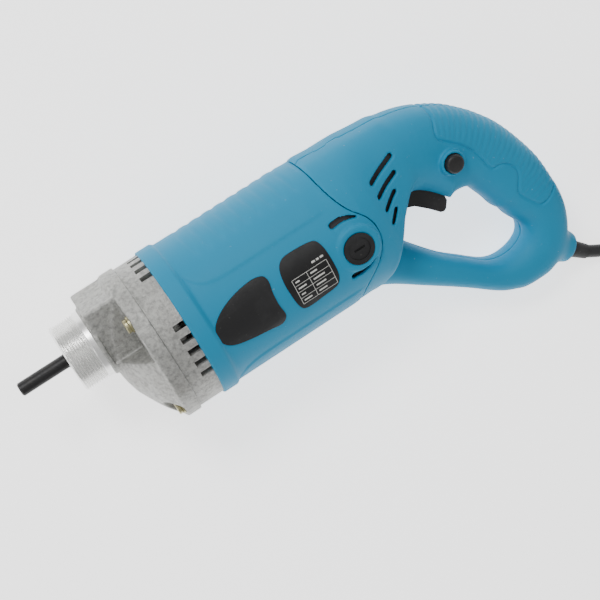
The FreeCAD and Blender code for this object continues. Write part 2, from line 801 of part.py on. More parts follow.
def curved_plate(outline, thickness, side):
    """A thin plate that follows the round housing, bounded by an outline seen from the side."""
    column = made_by_code(Part.Face(smooth_outline(outline)).extrude(V(0, 0, side * 60)), "outline_column")
    skin = cut(
        cylinder(f"housing_radius + {thickness}", 5, 90),
        cylinder("housing_radius", 5, 90),
    )
    return common(skin, column)


def plates():
    """Side pads, the rating plate on the near side and a blank plate on the far side."""
    sub_part("side_pads", group(*[curved_plate(PAD_OUTLINE, 0.5, side) for side in (1, -1)]))
    sub_part("rating_plate", group(curved_plate(PLATE_OUTLINE, 0.3, 1)))
    sub_part("blank_plate", group(curved_plate(PLATE_OUTLINE, 0.3, -1)))


# ---------------------------------------------------------------- switch, trigger and lock button
TRIGGER_OUTLINE = (
    (143.4, -3.0), (145.0, 2.0), (149.0, 2.5), (153.0, -1.5), (158.5, -3.0), (163.0, -10.0),
    (168.4, -20.0), (168.6, -23.0), (166.0, -27.2), (164.2, -28.2), (162.0, -27.4),
    (156.6, -21.6), (149.5, -15.0), (143.6, -12.6),
)


def trigger_parts():
    """Trigger with its pivot pin and return spring."""
    pivot = {"x": "trigger_pivot_x", "y": "trigger_pivot_y", "axis": "Z"}
    lever = body_from_profile("trigger_lever", TRIGGER_OUTLINE, "trigger_half_width")
    sub_part("trigger", cut(lever, cylinder("trigger_pin_radius + running_clearance", -10, 10, **pivot)))
    sub_part("trigger_pin", group(cylinder("trigger_pin_radius", -13.5, 13.5, **pivot)))
    sub_part("trigger_spring", cut(cylinder(3.2, 10.8, 13.3, **pivot), cylinder(1.7, 10.8, 13.3, **pivot)))


def switch_parts():
    """Switch with two cheeks that carry the trigger pin and a bracket for the lock button's spring."""
    sub_part("switch_body", cut(
        fuse(
            box(151, 171, 3, 22, -8.5, 8.5),
            box(143.5, 152, -4.5, 7, 8.2, 10.5),
            box(143.5, 152, -4.5, 7, -10.5, -8.2),
            box(170, 182, -3, 8, 2.5, 5.5),
        ),
        cylinder("2 + running_clearance", 2, 8.5, x=158, axis="Y"),
        cylinder("trigger_pin_radius", -11, 11, x="trigger_pivot_x", y="trigger_pivot_y", axis="Z"),
    ))
    sub_part("switch_plunger", group(cylinder(2, -1.9, 6, x=158, axis="Y")))
    sub_part("suppression_capacitor", group(box(131, 146, 14, 28, -6, 6)))
    sub_part("terminal_block", group(box(187, 199, -8, 1, -5, 5)))


def lock_parts():
    """Lock button that slides in the near half of the handle, and its return spring."""
    place = {"x": "button_x", "y": "button_y", "axis": "Z"}
    sub_part("lock_button", fuse(
        cylinder("button_radius", 12, "button_top - 1", **place),
        cone("button_radius", "button_radius - 1", "button_top - 1", "button_top", **place),
    ))
    sub_part("lock_spring", cut(
        cylinder(3.4, 5.5, 12, **place),
        cylinder(2.5, 5.5, 12, **place),
    ))


# ---------------------------------------------------------------- mains cord
# Route of the cord on the ground, from the sleeve to the coil, in the rest frame.
CORD_ROUTE = (
    V(164.1, -72.8, 7.6),
    V(173.1, -78.4, 4.8),
    V(185.6, -83.6, 4.0),
    V(203.6, -88.4, 4.0),
    V(227.0, -91.2, 4.0),
    V(240.0, -92.6, 4.0),
)
COIL_CENTRE = V(258.0, -49.5, 0)

# Where the last turn leaves the coil, and the plug's cord entry.
PLUG_LEAD = (
    V(278.0, -93.9, 20.0),
    V(289.0, -94.3, 13.0),
    V(298.0, -94.65, 9.5),
    V(308.0, -95.0, 9.5),
)


def cord_tube(route, radius):
    """Straight runs joined by tangent arcs, each as large as its two runs allow."""
    edges = []
    start = route[0]
    length = 0
    for before, corner, after in zip(route, route[1:], route[2:]):
        run_in = corner - before
        run_out = after - corner
        half_turn = run_in.getAngle(run_out) / 2
        back_off = 0.45 * min(run_in.Length, run_out.Length)
        bend = back_off / math.tan(half_turn)
        print(f"cord bend radius {bend:.1f} mm, turn {math.degrees(2 * half_turn):.1f} degrees")
        arc_start = corner - run_in.normalize() * back_off
        arc_end = corner + run_out.normalize() * back_off
        inward = (arc_start + arc_end) * 0.5 - corner
        depth = bend / math.cos(half_turn) - bend
        middle = corner + inward.normalize() * depth
        edges.append(Part.LineSegment(start, arc_start).toShape())
        edges.append(Part.Arc(arc_start, middle, arc_end).toShape())
        start = arc_end
    edges.append(Part.LineSegment(start, route[-1]).toShape())
    path = Part.Wire(edges)
    direction = route[1] - route[0]
    ring = Part.Wire([Part.makeCircle(radius, route[0], direction)])
    tube = path.makePipeShell([ring], True, False)
    expected = math.pi * radius ** 2 * path.Length
    print(f"cord tube {path.Length:.1f} mm long, volume ratio {tube.Volume / expected:.4f}")
    return tube


def cord_parts():
    """The cord from the clamp in the handle, through the bend sleeve, to the coil and on to the plug."""
    cord_start = REST.inverse().multVec(CORD_ROUTE[0])
    inner_end = CORD_BOSS_END + (CORD_BOSS_ROOT - CORD_BOSS_END) * 0.5
    coil_space = Part.makeCylinder(size("coil_outer_radius"), 40, COIL_CENTRE)
    run = cord_tube(CORD_ROUTE, size("cord_radius")).cut(coil_space)
    lead = cord_tube(PLUG_LEAD, size("cord_radius")).cut(coil_space)
    run_in_tool = run.copy()
    run_in_tool.Placement = REST.inverse() * run_in_tool.Placement
    sleeve = tapered_rod(inner_end, CORD_BOSS_END, 5.5, 5.5).multiFuse([
        Part.makeSphere(5.5, CORD_BOSS_END),
        tapered_rod(CORD_BOSS_END, cord_start, 5.5, 4.6),
    ])
    sub_part("cord_sleeve", made_by_code(sleeve.cut(run_in_tool), "sleeve"))
    tail_end = CORD_BOSS_ROOT + (CORD_BOSS_ROOT - CORD_BOSS_END) * 0.25
    tail = tapered_rod(inner_end, tail_end, size("cord_radius"), size("cord_radius"))
    sub_part("cord_tail", made_by_code(tail, "tail"))
    along = (CORD_BOSS_END - CORD_BOSS_ROOT).normalize()
    clamp = Part.makeBox(7, 20, 4, V(-3.5, -10, size("cord_radius") + 0.05))
    clamp_place = FreeCAD.Placement(CORD_BOSS_ROOT + along * 2, FreeCAD.Rotation(V(1, 0, 0), along))
    clamp.Placement = clamp_place
    sub_part("cord_clamp", made_by_code(clamp, "clamp"))
    sub_part("cord_run", made_by_code(run, "run"), GROUND)
    coil = cut(
        cylinder("coil_outer_radius", 0, "coil_height", x=COIL_CENTRE.x, y=COIL_CENTRE.y, axis="Z"),
        cylinder("coil_inner_radius", 0, "coil_height", x=COIL_CENTRE.x, y=COIL_CENTRE.y, axis="Z"),
    )
    sub_part("cord_coil", coil, GROUND)
    sub_part("cord_lead", made_by_code(lead, "lead"), GROUND)


def plug_parts():
    """Moulded two-pin plug lying flat beside the coil, in line with the last stretch of cord."""
    direction = (PLUG_LEAD[-1] - PLUG_LEAD[-2])
    direction.z = 0
    direction.normalize()
    lying = FreeCAD.Placement(PLUG_LEAD[-1], FreeCAD.Rotation(V(1, 0, 0), direction))
    grip = Part.makeCone(5, 6.5, 14, V(), V(1, 0, 0))
    block = Part.makeBox(24, 36, 19, V(13, -18, -9.5))
    body = grip.fuse(block)
    body.Placement = lying
    sub_part("plug_body", made_by_code(body, "plug"), GROUND)
    pins = [Part.makeCylinder(2.4, 19, V(37, y, 0), V(1, 0, 0)) for y in (-9.5, 9.5)]
    pair = Part.makeCompound(pins)
    pair.Placement = lying
    sub_part("plug_pins", made_by_code(pair, "pins"), GROUND)


# ---------------------------------------------------------------- build everything
def build_all():
    """Builds every sub-part, from the drive nose to the plug."""
    thread_collar()
    drive_spindle()
    spindle_gear()
    gear_circlip()
    spindle_seal()
    shaft_bearing("spindle_front_bearing", 14, "shaft_radius", -60, -52, y="spindle_offset")
    shaft_bearing("spindle_rear_bearing", 11, "spindle_journal_radius", -14.9, "spindle_end + 0.4",
                  y="spindle_offset")
    gear_case()
    bearing_shield()
    case_screws()
    case_washers()
    armature_shaft()
    armature_core()
    armature_windings()
    commutator()
    cooling_fan()
    shaft_bearing("armature_front_bearing", "front_bearing_radius", "shaft_radius",
                  "front_bearing_front", "front_bearing_back")
    shaft_bearing("armature_rear_bearing", "rear_bearing_radius", "rear_journal_radius",
                  "rear_bearing_front", "rear_bearing_back")
    air_baffle()
    stator_core()
    field_coils()
    brush_parts()
    shoulder_shell, handle_shell, handle_space = handle_forms()
    motor_housing(shoulder_shell)
    handle_half("handle_near_half", 1, handle_shell, handle_space)
    handle_half("handle_far_half", -1, handle_shell, handle_space)
    handle_screws()
    plates()
    trigger_parts()
    switch_parts()
    lock_parts()
    cord_parts()
    plug_parts()


def check_and_write():
    """Checks each sub-part and writes it to its own STEP file."""
    doc.recompute()
    failed = [f"{item.Name} ({item.Label})" for item in doc.Objects
              if "Invalid" in item.State or "Error" in item.State]
    if failed:
        raise RuntimeError("these objects failed: " + ", ".join(failed))
    for piece in sub_parts:
        if piece.Shape.isNull() or not piece.Shape.isValid():
            raise RuntimeError(f"{piece.Label} has no valid shape")
    os.makedirs("parts", exist_ok=True)
    for piece in sub_parts:
        piece.Shape.exportStep(f"parts/{piece.Label}.step")
    print(f"{len(sub_parts)} sub-parts written")


build_all()
check_and_write()
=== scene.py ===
import json
import math

import bmesh
import bpy
import numpy as np
from mathutils import Matrix, Vector


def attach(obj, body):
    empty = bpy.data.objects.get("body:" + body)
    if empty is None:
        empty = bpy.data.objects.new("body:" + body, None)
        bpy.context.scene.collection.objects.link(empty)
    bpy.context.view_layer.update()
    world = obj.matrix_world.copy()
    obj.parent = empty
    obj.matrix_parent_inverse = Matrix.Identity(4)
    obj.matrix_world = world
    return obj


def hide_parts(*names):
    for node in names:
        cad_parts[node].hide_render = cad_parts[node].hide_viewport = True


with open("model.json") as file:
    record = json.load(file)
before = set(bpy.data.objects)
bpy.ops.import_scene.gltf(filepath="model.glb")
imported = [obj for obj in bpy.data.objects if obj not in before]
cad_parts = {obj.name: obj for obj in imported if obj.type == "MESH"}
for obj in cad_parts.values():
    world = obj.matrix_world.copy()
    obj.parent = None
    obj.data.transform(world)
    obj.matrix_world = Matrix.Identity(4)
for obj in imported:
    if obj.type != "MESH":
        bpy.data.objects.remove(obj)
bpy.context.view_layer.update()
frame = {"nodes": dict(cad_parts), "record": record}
nodes = frame["nodes"]
record = frame["record"]
node_slot = {entry["node"]: entry["material_slot"] for entry in record["subparts"]}
node_body = {node: body for body, members in record["behaviour"]["bodies"].items() for node in members}

# ---------------------------------------------------------------- the tool's own axes
# Shapes are worked out in the tool's axes, in millimetres, as in the CAD source: X along the motor
# from the drive nose to the handle, with X = 0 at the front edge of the plastic housing, Y to the
# tool's top and Z to its near side. The tool lies rolled about its motor axis.
ROLL = math.radians(20.0)
HOUSING_FRONT = Vector((-73.4, 30.2, 46.2))
MILLIMETRE = 0.001
TOOL_TO_ROW = (
    Matrix.Scale(MILLIMETRE, 4)
    @ Matrix.Translation(HOUSING_FRONT)
    @ Matrix.Rotation(ROLL, 4, "X")
)

# Sizes that more than one piece uses.
SPINDLE_OFFSET = 18.0
LIP_RADIUS = 46.2
HOUSING_RADIUS = 44.1
HOUSING_INNER_RADIUS = 41.0
BRUSH_X = 101.2
WALL = 2.6
SEAM_GAP = 0.14


# ---------------------------------------------------------------- shape fields
# A field gives, for points p (an array of x, y, z in millimetres), the distance to a surface:
# negative inside. Fields are combined, and one surface net turns the result into a mesh.
def smooth_min(a, b, reach):
    """The nearer of two fields, rounded where they meet over about the given reach."""
    h = np.clip(0.5 + 0.5 * (b - a) / reach, 0, 1)
    return b + (a - b) * h - reach * h * (1 - h)


def smooth_max(a, b, reach):
    """The farther of two fields, rounded where they meet."""
    return -smooth_min(-a, -b, reach)


def smooth_step(value, low, high):
    """0 below low, 1 above high, and an even S between them."""
    t = np.clip((value - low) / (high - low), 0, 1)
    return t * t * (3 - 2 * t)


def box_field(p, centre, half):
    """A box with sharp edges along as many axes as its centre and half sizes are given for."""
    gap = np.abs(p[:, :len(centre)] - np.array(centre)) - np.array(half)
    return gap.max(axis=1)


def curve_through(points, steps):
    """Points along a Catmull-Rom curve through the given points; every column is interpolated."""
    pts = np.array(points, float)
    padded = np.vstack([2 * pts[0] - pts[1], pts, 2 * pts[-1] - pts[-2]])
    out = []
    for i in range(1, len(padded) - 2):
        a, b, c, d = padded[i - 1:i + 3]
        for t in np.linspace(0, 1, steps, endpoint=False):
            out.append(0.5 * (2 * b + (c - a) * t + (2 * a - 5 * b + 4 * c - d) * t ** 2
                              + (3 * b - a - 3 * c + d) * t ** 3))
    out.append(pts[-1])
    return np.array(out)


def distance_to_line(xy, line):
    """Distance of 2-D points to an open polyline, with the place along it of the nearest point."""
    best = np.full(len(xy), 1e9)
    place = np.zeros(len(xy))
    for i in range(len(line) - 1):
        a = line[i]
        run = line[i + 1] - a
        t = np.clip(((xy - a) @ run) / (run @ run), 0, 1)
        gap = np.linalg.norm(xy - a - t[:, None] * run, axis=1)
        near = gap < best
        best[near] = gap[near]
        place[near] = i + t[near]
    return best, place


def inside_outline(xy, outline):
    """Signed distance of 2-D points to a closed outline, negative inside."""
    closed = np.vstack([outline, outline[:1]])
    gap, _ = distance_to_line(xy, closed)
    inside = np.zeros(len(xy), bool)
    for a, b in zip(closed[:-1], closed[1:]):
        crosses = (a[1] > xy[:, 1]) != (b[1] > xy[:, 1])
        if not crosses.any():
            continue
        x_at = a[0] + (xy[:, 1] - a[1]) * (b[0] - a[0]) / (b[1] - a[1] + 1e-12)
        inside ^= crosses & (xy[:, 0] < x_at)
    return np.where(inside, -gap, gap)


# Corner order of a grid cell, and the pairs of corners that its twelve edges join.
CELL_CORNERS = [(i, j, k) for i in (0, 1) for j in (0, 1) for k in (0, 1)]
CELL_EDGES = [(a, b) for a in range(8) for b in range(a + 1, 8) if bin(a ^ b).count("1") == 1]


def crossing_means(values, cells):
    """For each grid cell, the mean of the places where the zero surface crosses its edges."""
    corner_values = np.stack([values[tuple((cells + c).T)] for c in CELL_CORNERS], axis=1)
    corner_places = np.array(CELL_CORNERS, float)
    total = np.zeros((len(cells), 3))
    hits = np.zeros(len(cells))
    for a, b in CELL_EDGES:
        va = corner_values[:, a]
        vb = corner_values[:, b]
        crosses = (va < 0) != (vb < 0)
        t = np.where(crosses, va / np.where(crosses, va - vb, 1), 0)
        place = corner_places[a] + (corner_places[b] - corner_places[a]) * t[:, None]
        total += place * crosses[:, None]
        hits += crosses
    return total / hits[:, None]


def quads_across(inside, index, axis):
    """Outward quads round the grid edges along one axis that the surface crosses."""
    along, back_u, back_v = (np.eye(3, dtype=int)[(axis + turn) % 3] for turn in range(3))
    first = tuple(slice(0, n - s) for n, s in zip(inside.shape, along))
    second = tuple(slice(s, n) for n, s in zip(inside.shape, along))
    edges = np.argwhere(inside[first] != inside[second])
    sideways = along == 0
    within = (edges > 0) & (edges < np.array(index.shape))
    edges = edges[within[:, sideways].all(axis=1)]
    around = (edges, edges - back_u, edges - back_u - back_v, edges - back_v)
    quads = np.stack([index[tuple(cell.T)] for cell in around], axis=1)
    inward = ~inside[tuple(edges.T)]
    quads[inward] = quads[inward][:, ::-1]
    return quads


def surface_net(values, low, step):
    """Vertices and quads of the zero surface of a field sampled on a regular grid."""
    inside = values < 0
    count = np.zeros([n - 1 for n in values.shape], np.int8)
    for i, j, k in CELL_CORNERS:
        count += inside[i:i + count.shape[0], j:j + count.shape[1], k:k + count.shape[2]]
    cells = np.argwhere((count > 0) & (count < len(CELL_CORNERS)))
    index = np.full(count.shape, -1, np.int64)
    index[tuple(cells.T)] = np.arange(len(cells))
    vertices = np.array(low) + (cells + crossing_means(values, cells)) * step
    return vertices, np.vstack([quads_across(inside, index, axis) for axis in range(3)])


SLAB = 8


def sampled(field, low, high, step):
    """A field evaluated on a grid, one slab at a time to spare memory."""
    axes = [np.arange(a, b + step, step) for a, b in zip(low, high)]
    values = np.empty([len(axis) for axis in axes], np.float32)
    yy, zz = np.meshgrid(axes[1], axes[2], indexing="ij")
    for start in range(0, len(axes[0]), SLAB):
        xs = axes[0][start:start + SLAB]
        p = np.empty((len(xs),) + yy.shape + (3,))
        p[..., 0] = xs[:, None, None]
        p[..., 1] = yy
        p[..., 2] = zz
        values[start:start + SLAB] = field(p.reshape(-1, 3)).reshape(p.shape[:-1])
    return values


FIELD_CREASE = math.radians(50)


def mesh_piece(name, vertices, faces, body, replaced=()):
    """A smooth mesh object from vertices in the tool's axes, set at rest and parented to its body."""
    mesh = bpy.data.meshes.new(name)
    mesh.from_pydata([tuple(v) for v in vertices], [], [tuple(int(i) for i in f) for f in faces])
    mesh.transform(TOOL_TO_ROW)
    mesh.validate()
    mesh.update()
    mesh.shade_smooth()
    piece = bpy.data.objects.new(name, mesh)
    bpy.context.scene.collection.objects.link(piece)
    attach(piece, body)
    if replaced:
        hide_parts(*replaced)
    return piece


def field_piece(name, field, low, high, steps, replaced):
    """The mesh of a field's zero surface, with creases kept sharp, on the finer of the two grid steps given.
    """
    fine_step, quick_step = steps
    step = fine_step
    vertices, quads = surface_net(sampled(field, low, high, step), low, step)
    piece = mesh_piece(name, vertices, quads, "tool", replaced)
    piece.data.set_sharp_from_angle(angle=FIELD_CREASE)
    return piece


# ---------------------------------------------------------------- blue plastic shell
# Silhouette of the handle seen square from the near side, and the edge of the hand hole.
HANDLE_OUTLINE = curve_through([
    (86.0, 43.0), (100.0, 43.4), (113.0, 42.9), (128.0, 42.7), (143.0, 41.4), (155.0, 40.7),
    (163.0, 39.4), (172.0, 36.8), (182.0, 32.3), (193.0, 25.7), (204.3, 15.4), (210.3, 8.5),
    (216.6, 0.0), (223.8, -14.0), (230.8, -32.2), (234.2, -51.4), (235.0, -62.8), (234.1, -72.1),
    (231.0, -83.0), (226.0, -92.0), (218.5, -99.0), (209.3, -103.0), (200.9, -103.7),
    (190.3, -103.0), (183.7, -100.5), (173.6, -95.0), (156.4, -80.8), (134.2, -64.0),
    (112.7, -48.1), (98.0, -43.0), (86.0, -41.0),
], 4)[:, :2]
HOLE_OUTLINE = curve_through([
    (132.7, -27.0), (139.0, -17.6), (143.0, -11.8), (147.6, -7.0), (151.5, -6.2), (158.0, -10.6),
    (164.0, -17.0), (169.0, -23.2), (171.2, -23.6), (174.0, -22.2), (177.5, -22.2), (181.8, -23.2),
    (184.8, -25.6), (188.0, -31.5), (191.4, -38.6), (193.8, -45.0), (197.2, -49.6), (199.6, -56.0),
    (203.5, -62.6), (204.6, -66.2), (203.8, -70.2), (201.6, -73.4), (197.1, -76.0), (192.1, -77.3),
    (186.9, -77.6), (181.7, -76.7), (176.2, -74.0), (170.4, -69.3), (164.7, -64.1), (153.3, -53.9),
    (141.8, -40.4), (135.6, -32.4), (133.4, -29.6), (132.7, -27.0),
], 3)[:, :2]

# Middle of the handle loop and its half width there, from the arm round to the strut.
LOOP_MIDDLE = curve_through([
    (120.0, 14.0, 27.0), (131.0, 13.0, 26.0), (145.0, 14.0, 24.5), (160.0, 13.5, 22.8),
    (174.0, 6.5, 21.2), (190.0, -2.5, 19.4), (201.0, -13.5, 18.5), (208.5, -28.0, 18.0),
    (214.0, -42.0, 17.5), (218.0, -57.0, 17.0), (218.0, -72.0, 16.0), (211.0, -85.0, 15.4),
    (198.5, -90.5, 15.0), (182.5, -88.5, 14.0), (169.0, -80.0, 13.4), (155.0, -68.0, 13.0),
    (141.0, -56.0, 13.2), (128.0, -45.0, 14.5), (112.0, -34.0, 18.0),
], 5)

# Rounded hood between the motor housing and the handle: X, centre height, half height, half width, power.
HOOD = np.array([
    (96.0, 0.0, 44.1, 44.1, 2.0), (104.0, 0.0, 44.1, 43.7, 2.0), (113.0, -1.2, 44.2, 41.8, 2.05),
    (122.0, -4.4, 47.6, 37.6, 2.1), (129.0, -7.4, 50.6, 33.0, 2.2), (136.0, -10.0, 52.4, 29.0, 2.3),
    (144.0, -12.0, 54.0, 26.5, 2.3), (154.0, -14.0, 56.0, 24.0, 2.3),
])
# How far back the hood reaches at each height: Y, X.
HOOD_END = np.array([
    (-60.0, 95.0), (-39.9, 110.0), (-30.5, 118.0), (-19.4, 127.5), (-8.0, 137.0), (6.0, 151.0), (60.0, 152.0),
])

# Curved rear edge of the motor housing, where the two handle halves begin.
HOUSING_EDGE = curve_through([
    (99.0, 60.0), (100.2, 42.8), (102.2, 31.0), (106.5, 21.0), (113.6, 11.5), (116.4, 2.5),
    (115.0, -6.5), (108.6, -15.5), (99.0, -25.5), (93.5, -36.0), (90.0, -60.0),
], 6)[:, :2]


class FlatField:
    """A 2-D field kept on a fine XY grid, so that the 3-D fields can look it up quickly."""

    LOW = (80.0, -112.0)
    HIGH = (244.0, 64.0)
    STEP = 0.5

    def __init__(self, function):
        self.x = np.arange(self.LOW[0], self.HIGH[0] + self.STEP, self.STEP)
        self.y = np.arange(self.LOW[1], self.HIGH[1] + self.STEP, self.STEP)
        xx, yy = np.meshgrid(self.x, self.y, indexing="ij")
        self.values = function(np.stack([xx.ravel(), yy.ravel()], axis=1)).reshape(xx.shape)

    def __call__(self, p):
        fx = np.clip((p[:, 0] - self.LOW[0]) / self.STEP, 0, len(self.x) - 1.001)
        fy = np.clip((p[:, 1] - self.LOW[1]) / self.STEP, 0, len(self.y) - 1.001)
        i = fx.astype(int)
        j = fy.astype(int)
        u = fx - i
        v = fy - j
        g = self.values
        return ((g[i, j] * (1 - u) + g[i + 1, j] * u) * (1 - v)
                + (g[i, j + 1] * (1 - u) + g[i + 1, j + 1] * u) * v)


def loop_half_width(xy):
    """Half width of the handle loop at the nearest place on its middle line."""
    _, place = distance_to_line(xy, LOOP_MIDDLE[:, :2])
    return np.interp(place, np.arange(len(LOOP_MIDDLE)), LOOP_MIDDLE[:, 2])


def edge_side(xy):
    """Signed distance to the rear edge of the motor housing, negative in front of it."""
    outline = np.vstack([HOUSING_EDGE, [(-20.0, -60.0), (-20.0, 60.0)]])
    return inside_outline(xy, outline)


outline_field = FlatField(lambda xy: inside_outline(xy, HANDLE_OUTLINE))
hole_field = FlatField(lambda xy: inside_outline(xy, HOLE_OUTLINE))
width_field = FlatField(loop_half_width)
edge_field = FlatField(edge_side)

HOOD_FRONT = 90.0
LOOP_FRONT = 104.0
LOOP_POWER = 2.4
LEAST_HALF_HEIGHT = 4.0


def rounded_section(u, z, half_height, half_width, power):
    """Field of a rounded section, in millimetres near its edge."""
    ratio = (np.abs(u / half_height) ** power + np.abs(z / half_width) ** power) ** (1 / power)
    return (ratio - 1) * np.minimum(half_height, half_width)


def hood_field(p, outer, hole):
    """Rounded hood between the motor housing and the handle, ending at the hand hole."""
    x = p[:, 0]
    middle, half_height, half_width, power = (np.interp(x, HOOD[:, 0], column) for column in HOOD.T[1:])
    hood = rounded_section(p[:, 1] - middle, p[:, 2], half_height, half_width, power)
    hood_end = np.interp(p[:, 1], HOOD_END[:, 0], HOOD_END[:, 1])
    hood = smooth_max(hood, (x - hood_end) * 0.85, 4.0)
    hood = smooth_max(hood, -hole, 3.0)
    hood = smooth_max(hood, outer, 1.5)
    return np.maximum(hood, HOOD_FRONT - x)


def handle_field(p):
    """Hood and loop of the handle, as one solid form."""
    outer = outline_field(p)
    hole = hole_field(p)
    half_height = np.maximum((hole - outer) / 2, LEAST_HALF_HEIGHT)
    across = (-outer - hole) / 2
    loop = rounded_section(across, p[:, 2], half_height, width_field(p), LOOP_POWER)
    return smooth_min(hood_field(p, outer, hole), np.maximum(loop, LOOP_FRONT - p[:, 0]), 5.0)


# The housing's side panels lie between two creases, PANEL_STEP below its top and bottom.
CREASE_ANGLE = 36.0
PANEL_STEP = 0.6
GROOVE_FIRST = 23.9
GROOVE_PITCH = 8.0
GROOVE_COUNT = 9
GROOVE_DEPTH = 0.5
GROOVE_HALF_WIDTH = 1.5


def barrel_field(p):
    """Outside of the round motor housing: raised lip, sunk side panels and shallow grip grooves on top."""
    x = p[:, 0]
    angle = np.degrees(np.arctan2(p[:, 1], np.abs(p[:, 2])))
    crease = CREASE_ANGLE + 23.0 * np.exp((10.0 - x) / 5.0)
    fade = 1 - smooth_step(x, 88.0, 98.0)
    raised = PANEL_STEP * fade * smooth_step(np.abs(angle), crease - 1.6, crease + 1.6)
    lip = (LIP_RADIUS - HOUSING_RADIUS) * (1 - smooth_step(x, 8.8, 12.2))
    nearest = np.clip(np.round((x - GROOVE_FIRST) / GROOVE_PITCH), 0, GROOVE_COUNT - 1)
    middle = GROOVE_FIRST + nearest * GROOVE_PITCH + (90.0 - np.abs(angle)) * 0.08
    groove = np.exp(-((x - middle) / GROOVE_HALF_WIDTH) ** 2) * smooth_step(angle, 56.0, 66.0)
    radius = HOUSING_RADIUS + np.maximum(raised, lip) - GROOVE_DEPTH * groove
    around = np.hypot(p[:, 1], p[:, 2]) - radius
    return smooth_max(around, -x, 0.8)


# Curved slots round the brush caps and straight vents in the handle: (x, y, radius) along each one.
SLOT_SPINES = (
    ((94.6, 18.2, 1.8), (99.9, 18.5, 1.6), (104.2, 17.4, 1.2), (108.6, 15.2, 0.6)),
    ((92.6, -13.8, 1.8), (97.4, -13.9, 1.6), (102.4, -13.3, 1.2), (108.0, -10.6, 0.5)),
)
VENT_RADIUS = 1.55
VENT_SLOTS = tuple(
    ((*front, VENT_RADIUS), (*rear, VENT_RADIUS))
    for front, rear in (
        ((127.6, 21.6), (144.9, 27.0)),
        ((127.4, 13.3), (142.3, 18.0)),
        ((127.9, 4.9), (137.2, 9.1)),
        ((127.9, -3.5), (133.0, 0.5)),
    )
)
FAR_OFF = 5.0


def slot_field(p, spine):
    """A through slot along a spine of (x, y, radius) points."""
    line = np.array(spine, float)
    gap, place = distance_to_line(p[:, :2], line[:, :2])
    return gap - np.interp(place, np.arange(len(line)), line[:, 2])


def cut_slots(shell, p, near, spines, reach):
    """The shell with through slots cut in it, worked out only for the points near them."""
    for spine in spines:
        gap = np.full(len(p), FAR_OFF)
        gap[near] = slot_field(p[near], spine)
        shell = smooth_max(shell, -gap, reach)
    return shell


BOSS_RADIUS = 13.4
BOSS_FACE = 44.28
BOSS_INNER_FACE = 36.0
HOLDER_SEAT_RADIUS = 9.05
HOLDER_SEAT_FACE = 43.2
HOLDER_HOLE_RADIUS = 6.65
HOLDER_HOLE_FACE = 10.0
BARREL_BACK = 97.5
BARREL_BORE_BACK = 92.0


def motor_housing_field(p):
    """Round motor housing with the front of the hood, a boss round each brush cap and its slots."""
    x = p[:, 0]
    z = np.abs(p[:, 2])
    hood = handle_field(p)
    outer = np.minimum(smooth_max(barrel_field(p), x - BARREL_BACK, 0.3), hood)
    from_cap = np.hypot(x - BRUSH_X, p[:, 1])
    boss = np.maximum(smooth_max(from_cap - BOSS_RADIUS, z - BOSS_FACE, 2.4), BOSS_INNER_FACE - z)
    solid = smooth_min(outer, boss, 0.9)
    barrel_bore = np.hypot(p[:, 1], p[:, 2]) - HOUSING_INNER_RADIUS
    inner = np.where(x < BARREL_BORE_BACK, barrel_bore, hood + WALL)
    shell = np.maximum(solid, -inner)
    holder_seat = np.maximum(from_cap - HOLDER_SEAT_RADIUS, HOLDER_SEAT_FACE - z)
    holder_hole = np.maximum(from_cap - HOLDER_HOLE_RADIUS, HOLDER_HOLE_FACE - z)
    shell = np.maximum(shell, -np.minimum(holder_seat, holder_hole))
    near_boss = (np.abs(x - BRUSH_X) < 22) & (z > 20)
    shell = cut_slots(shell, p, near_boss, SLOT_SPINES, 0.5)
    return smooth_max(shell, edge_field(p) + SEAM_GAP, 0.4)


# Edge of the ribbed grip panel on the handle.
GRIP_PANEL = curve_through([
    (176.6, 43.5), (177.2, 40.5), (179.3, 35.5), (179.1, 30.5), (177.6, 27.4), (175.3, 23.3),
    (174.7, 20.3), (175.6, 17.2), (179.6, 13.1), (185.1, 7.9), (189.9, 1.7), (193.2, -4.6),
    (195.7, -12.0), (197.9, -16.8), (201.4, -17.2), (205.6, -18.5), (209.0, -21.7), (211.2, -26.0),
    (210.8, -30.4), (208.2, -35.8), (207.1, -40.2), (209.7, -45.8), (213.5, -51.4), (216.6, -54.8),
    (221.1, -54.8), (226.0, -53.1), (238.0, -48.0),
], 4)[:, :2]
CORD_BOSS_ROOT = np.array((212.5, -82.5, 0.0))
CORD_BOSS_END = np.array((227.8, -100.4, 0.0))
CORD_BOSS_RADII = (13.6, 11.0, 9.0)
CORD_BORE_RADIUS = 5.6
CORD_BORE_START = -9.0


def panel_side(xy):
    """Signed distance to the edge of the grip panel, negative on the panel."""
    return inside_outline(xy, np.vstack([GRIP_PANEL, [(244.0, 60.0), (170.0, 60.0)]]))


def along_outline(xy):
    """Length along the handle's silhouette to the place nearest to each point."""
    _, place = distance_to_line(xy, HANDLE_OUTLINE)
    steps = np.linalg.norm(np.diff(HANDLE_OUTLINE, axis=0), axis=1)
    lengths = np.concatenate([[0], np.cumsum(steps)])
    return np.interp(place, np.arange(len(HANDLE_OUTLINE)), lengths)


panel_field = FlatField(panel_side)
travel_field = FlatField(along_outline)
RIB_PITCH = 4.4
RIB_HALF_DEPTH = 0.16
PANEL_LINE_DEPTH = 1.0
PANEL_LINE_HALF_WIDTH = 0.7


def grip_relief(p):
    """How far the handle's surface lies below its plain form: the panel's ribs and its outline."""
    panel = panel_field(p)
    wave = 1 - np.cos(2 * math.pi * travel_field(p) / RIB_PITCH)
    ribs = RIB_HALF_DEPTH * wave * smooth_step(-panel, 1.0, 3.0)
    return ribs + PANEL_LINE_DEPTH * np.exp(-(panel / PANEL_LINE_HALF_WIDTH) ** 2)


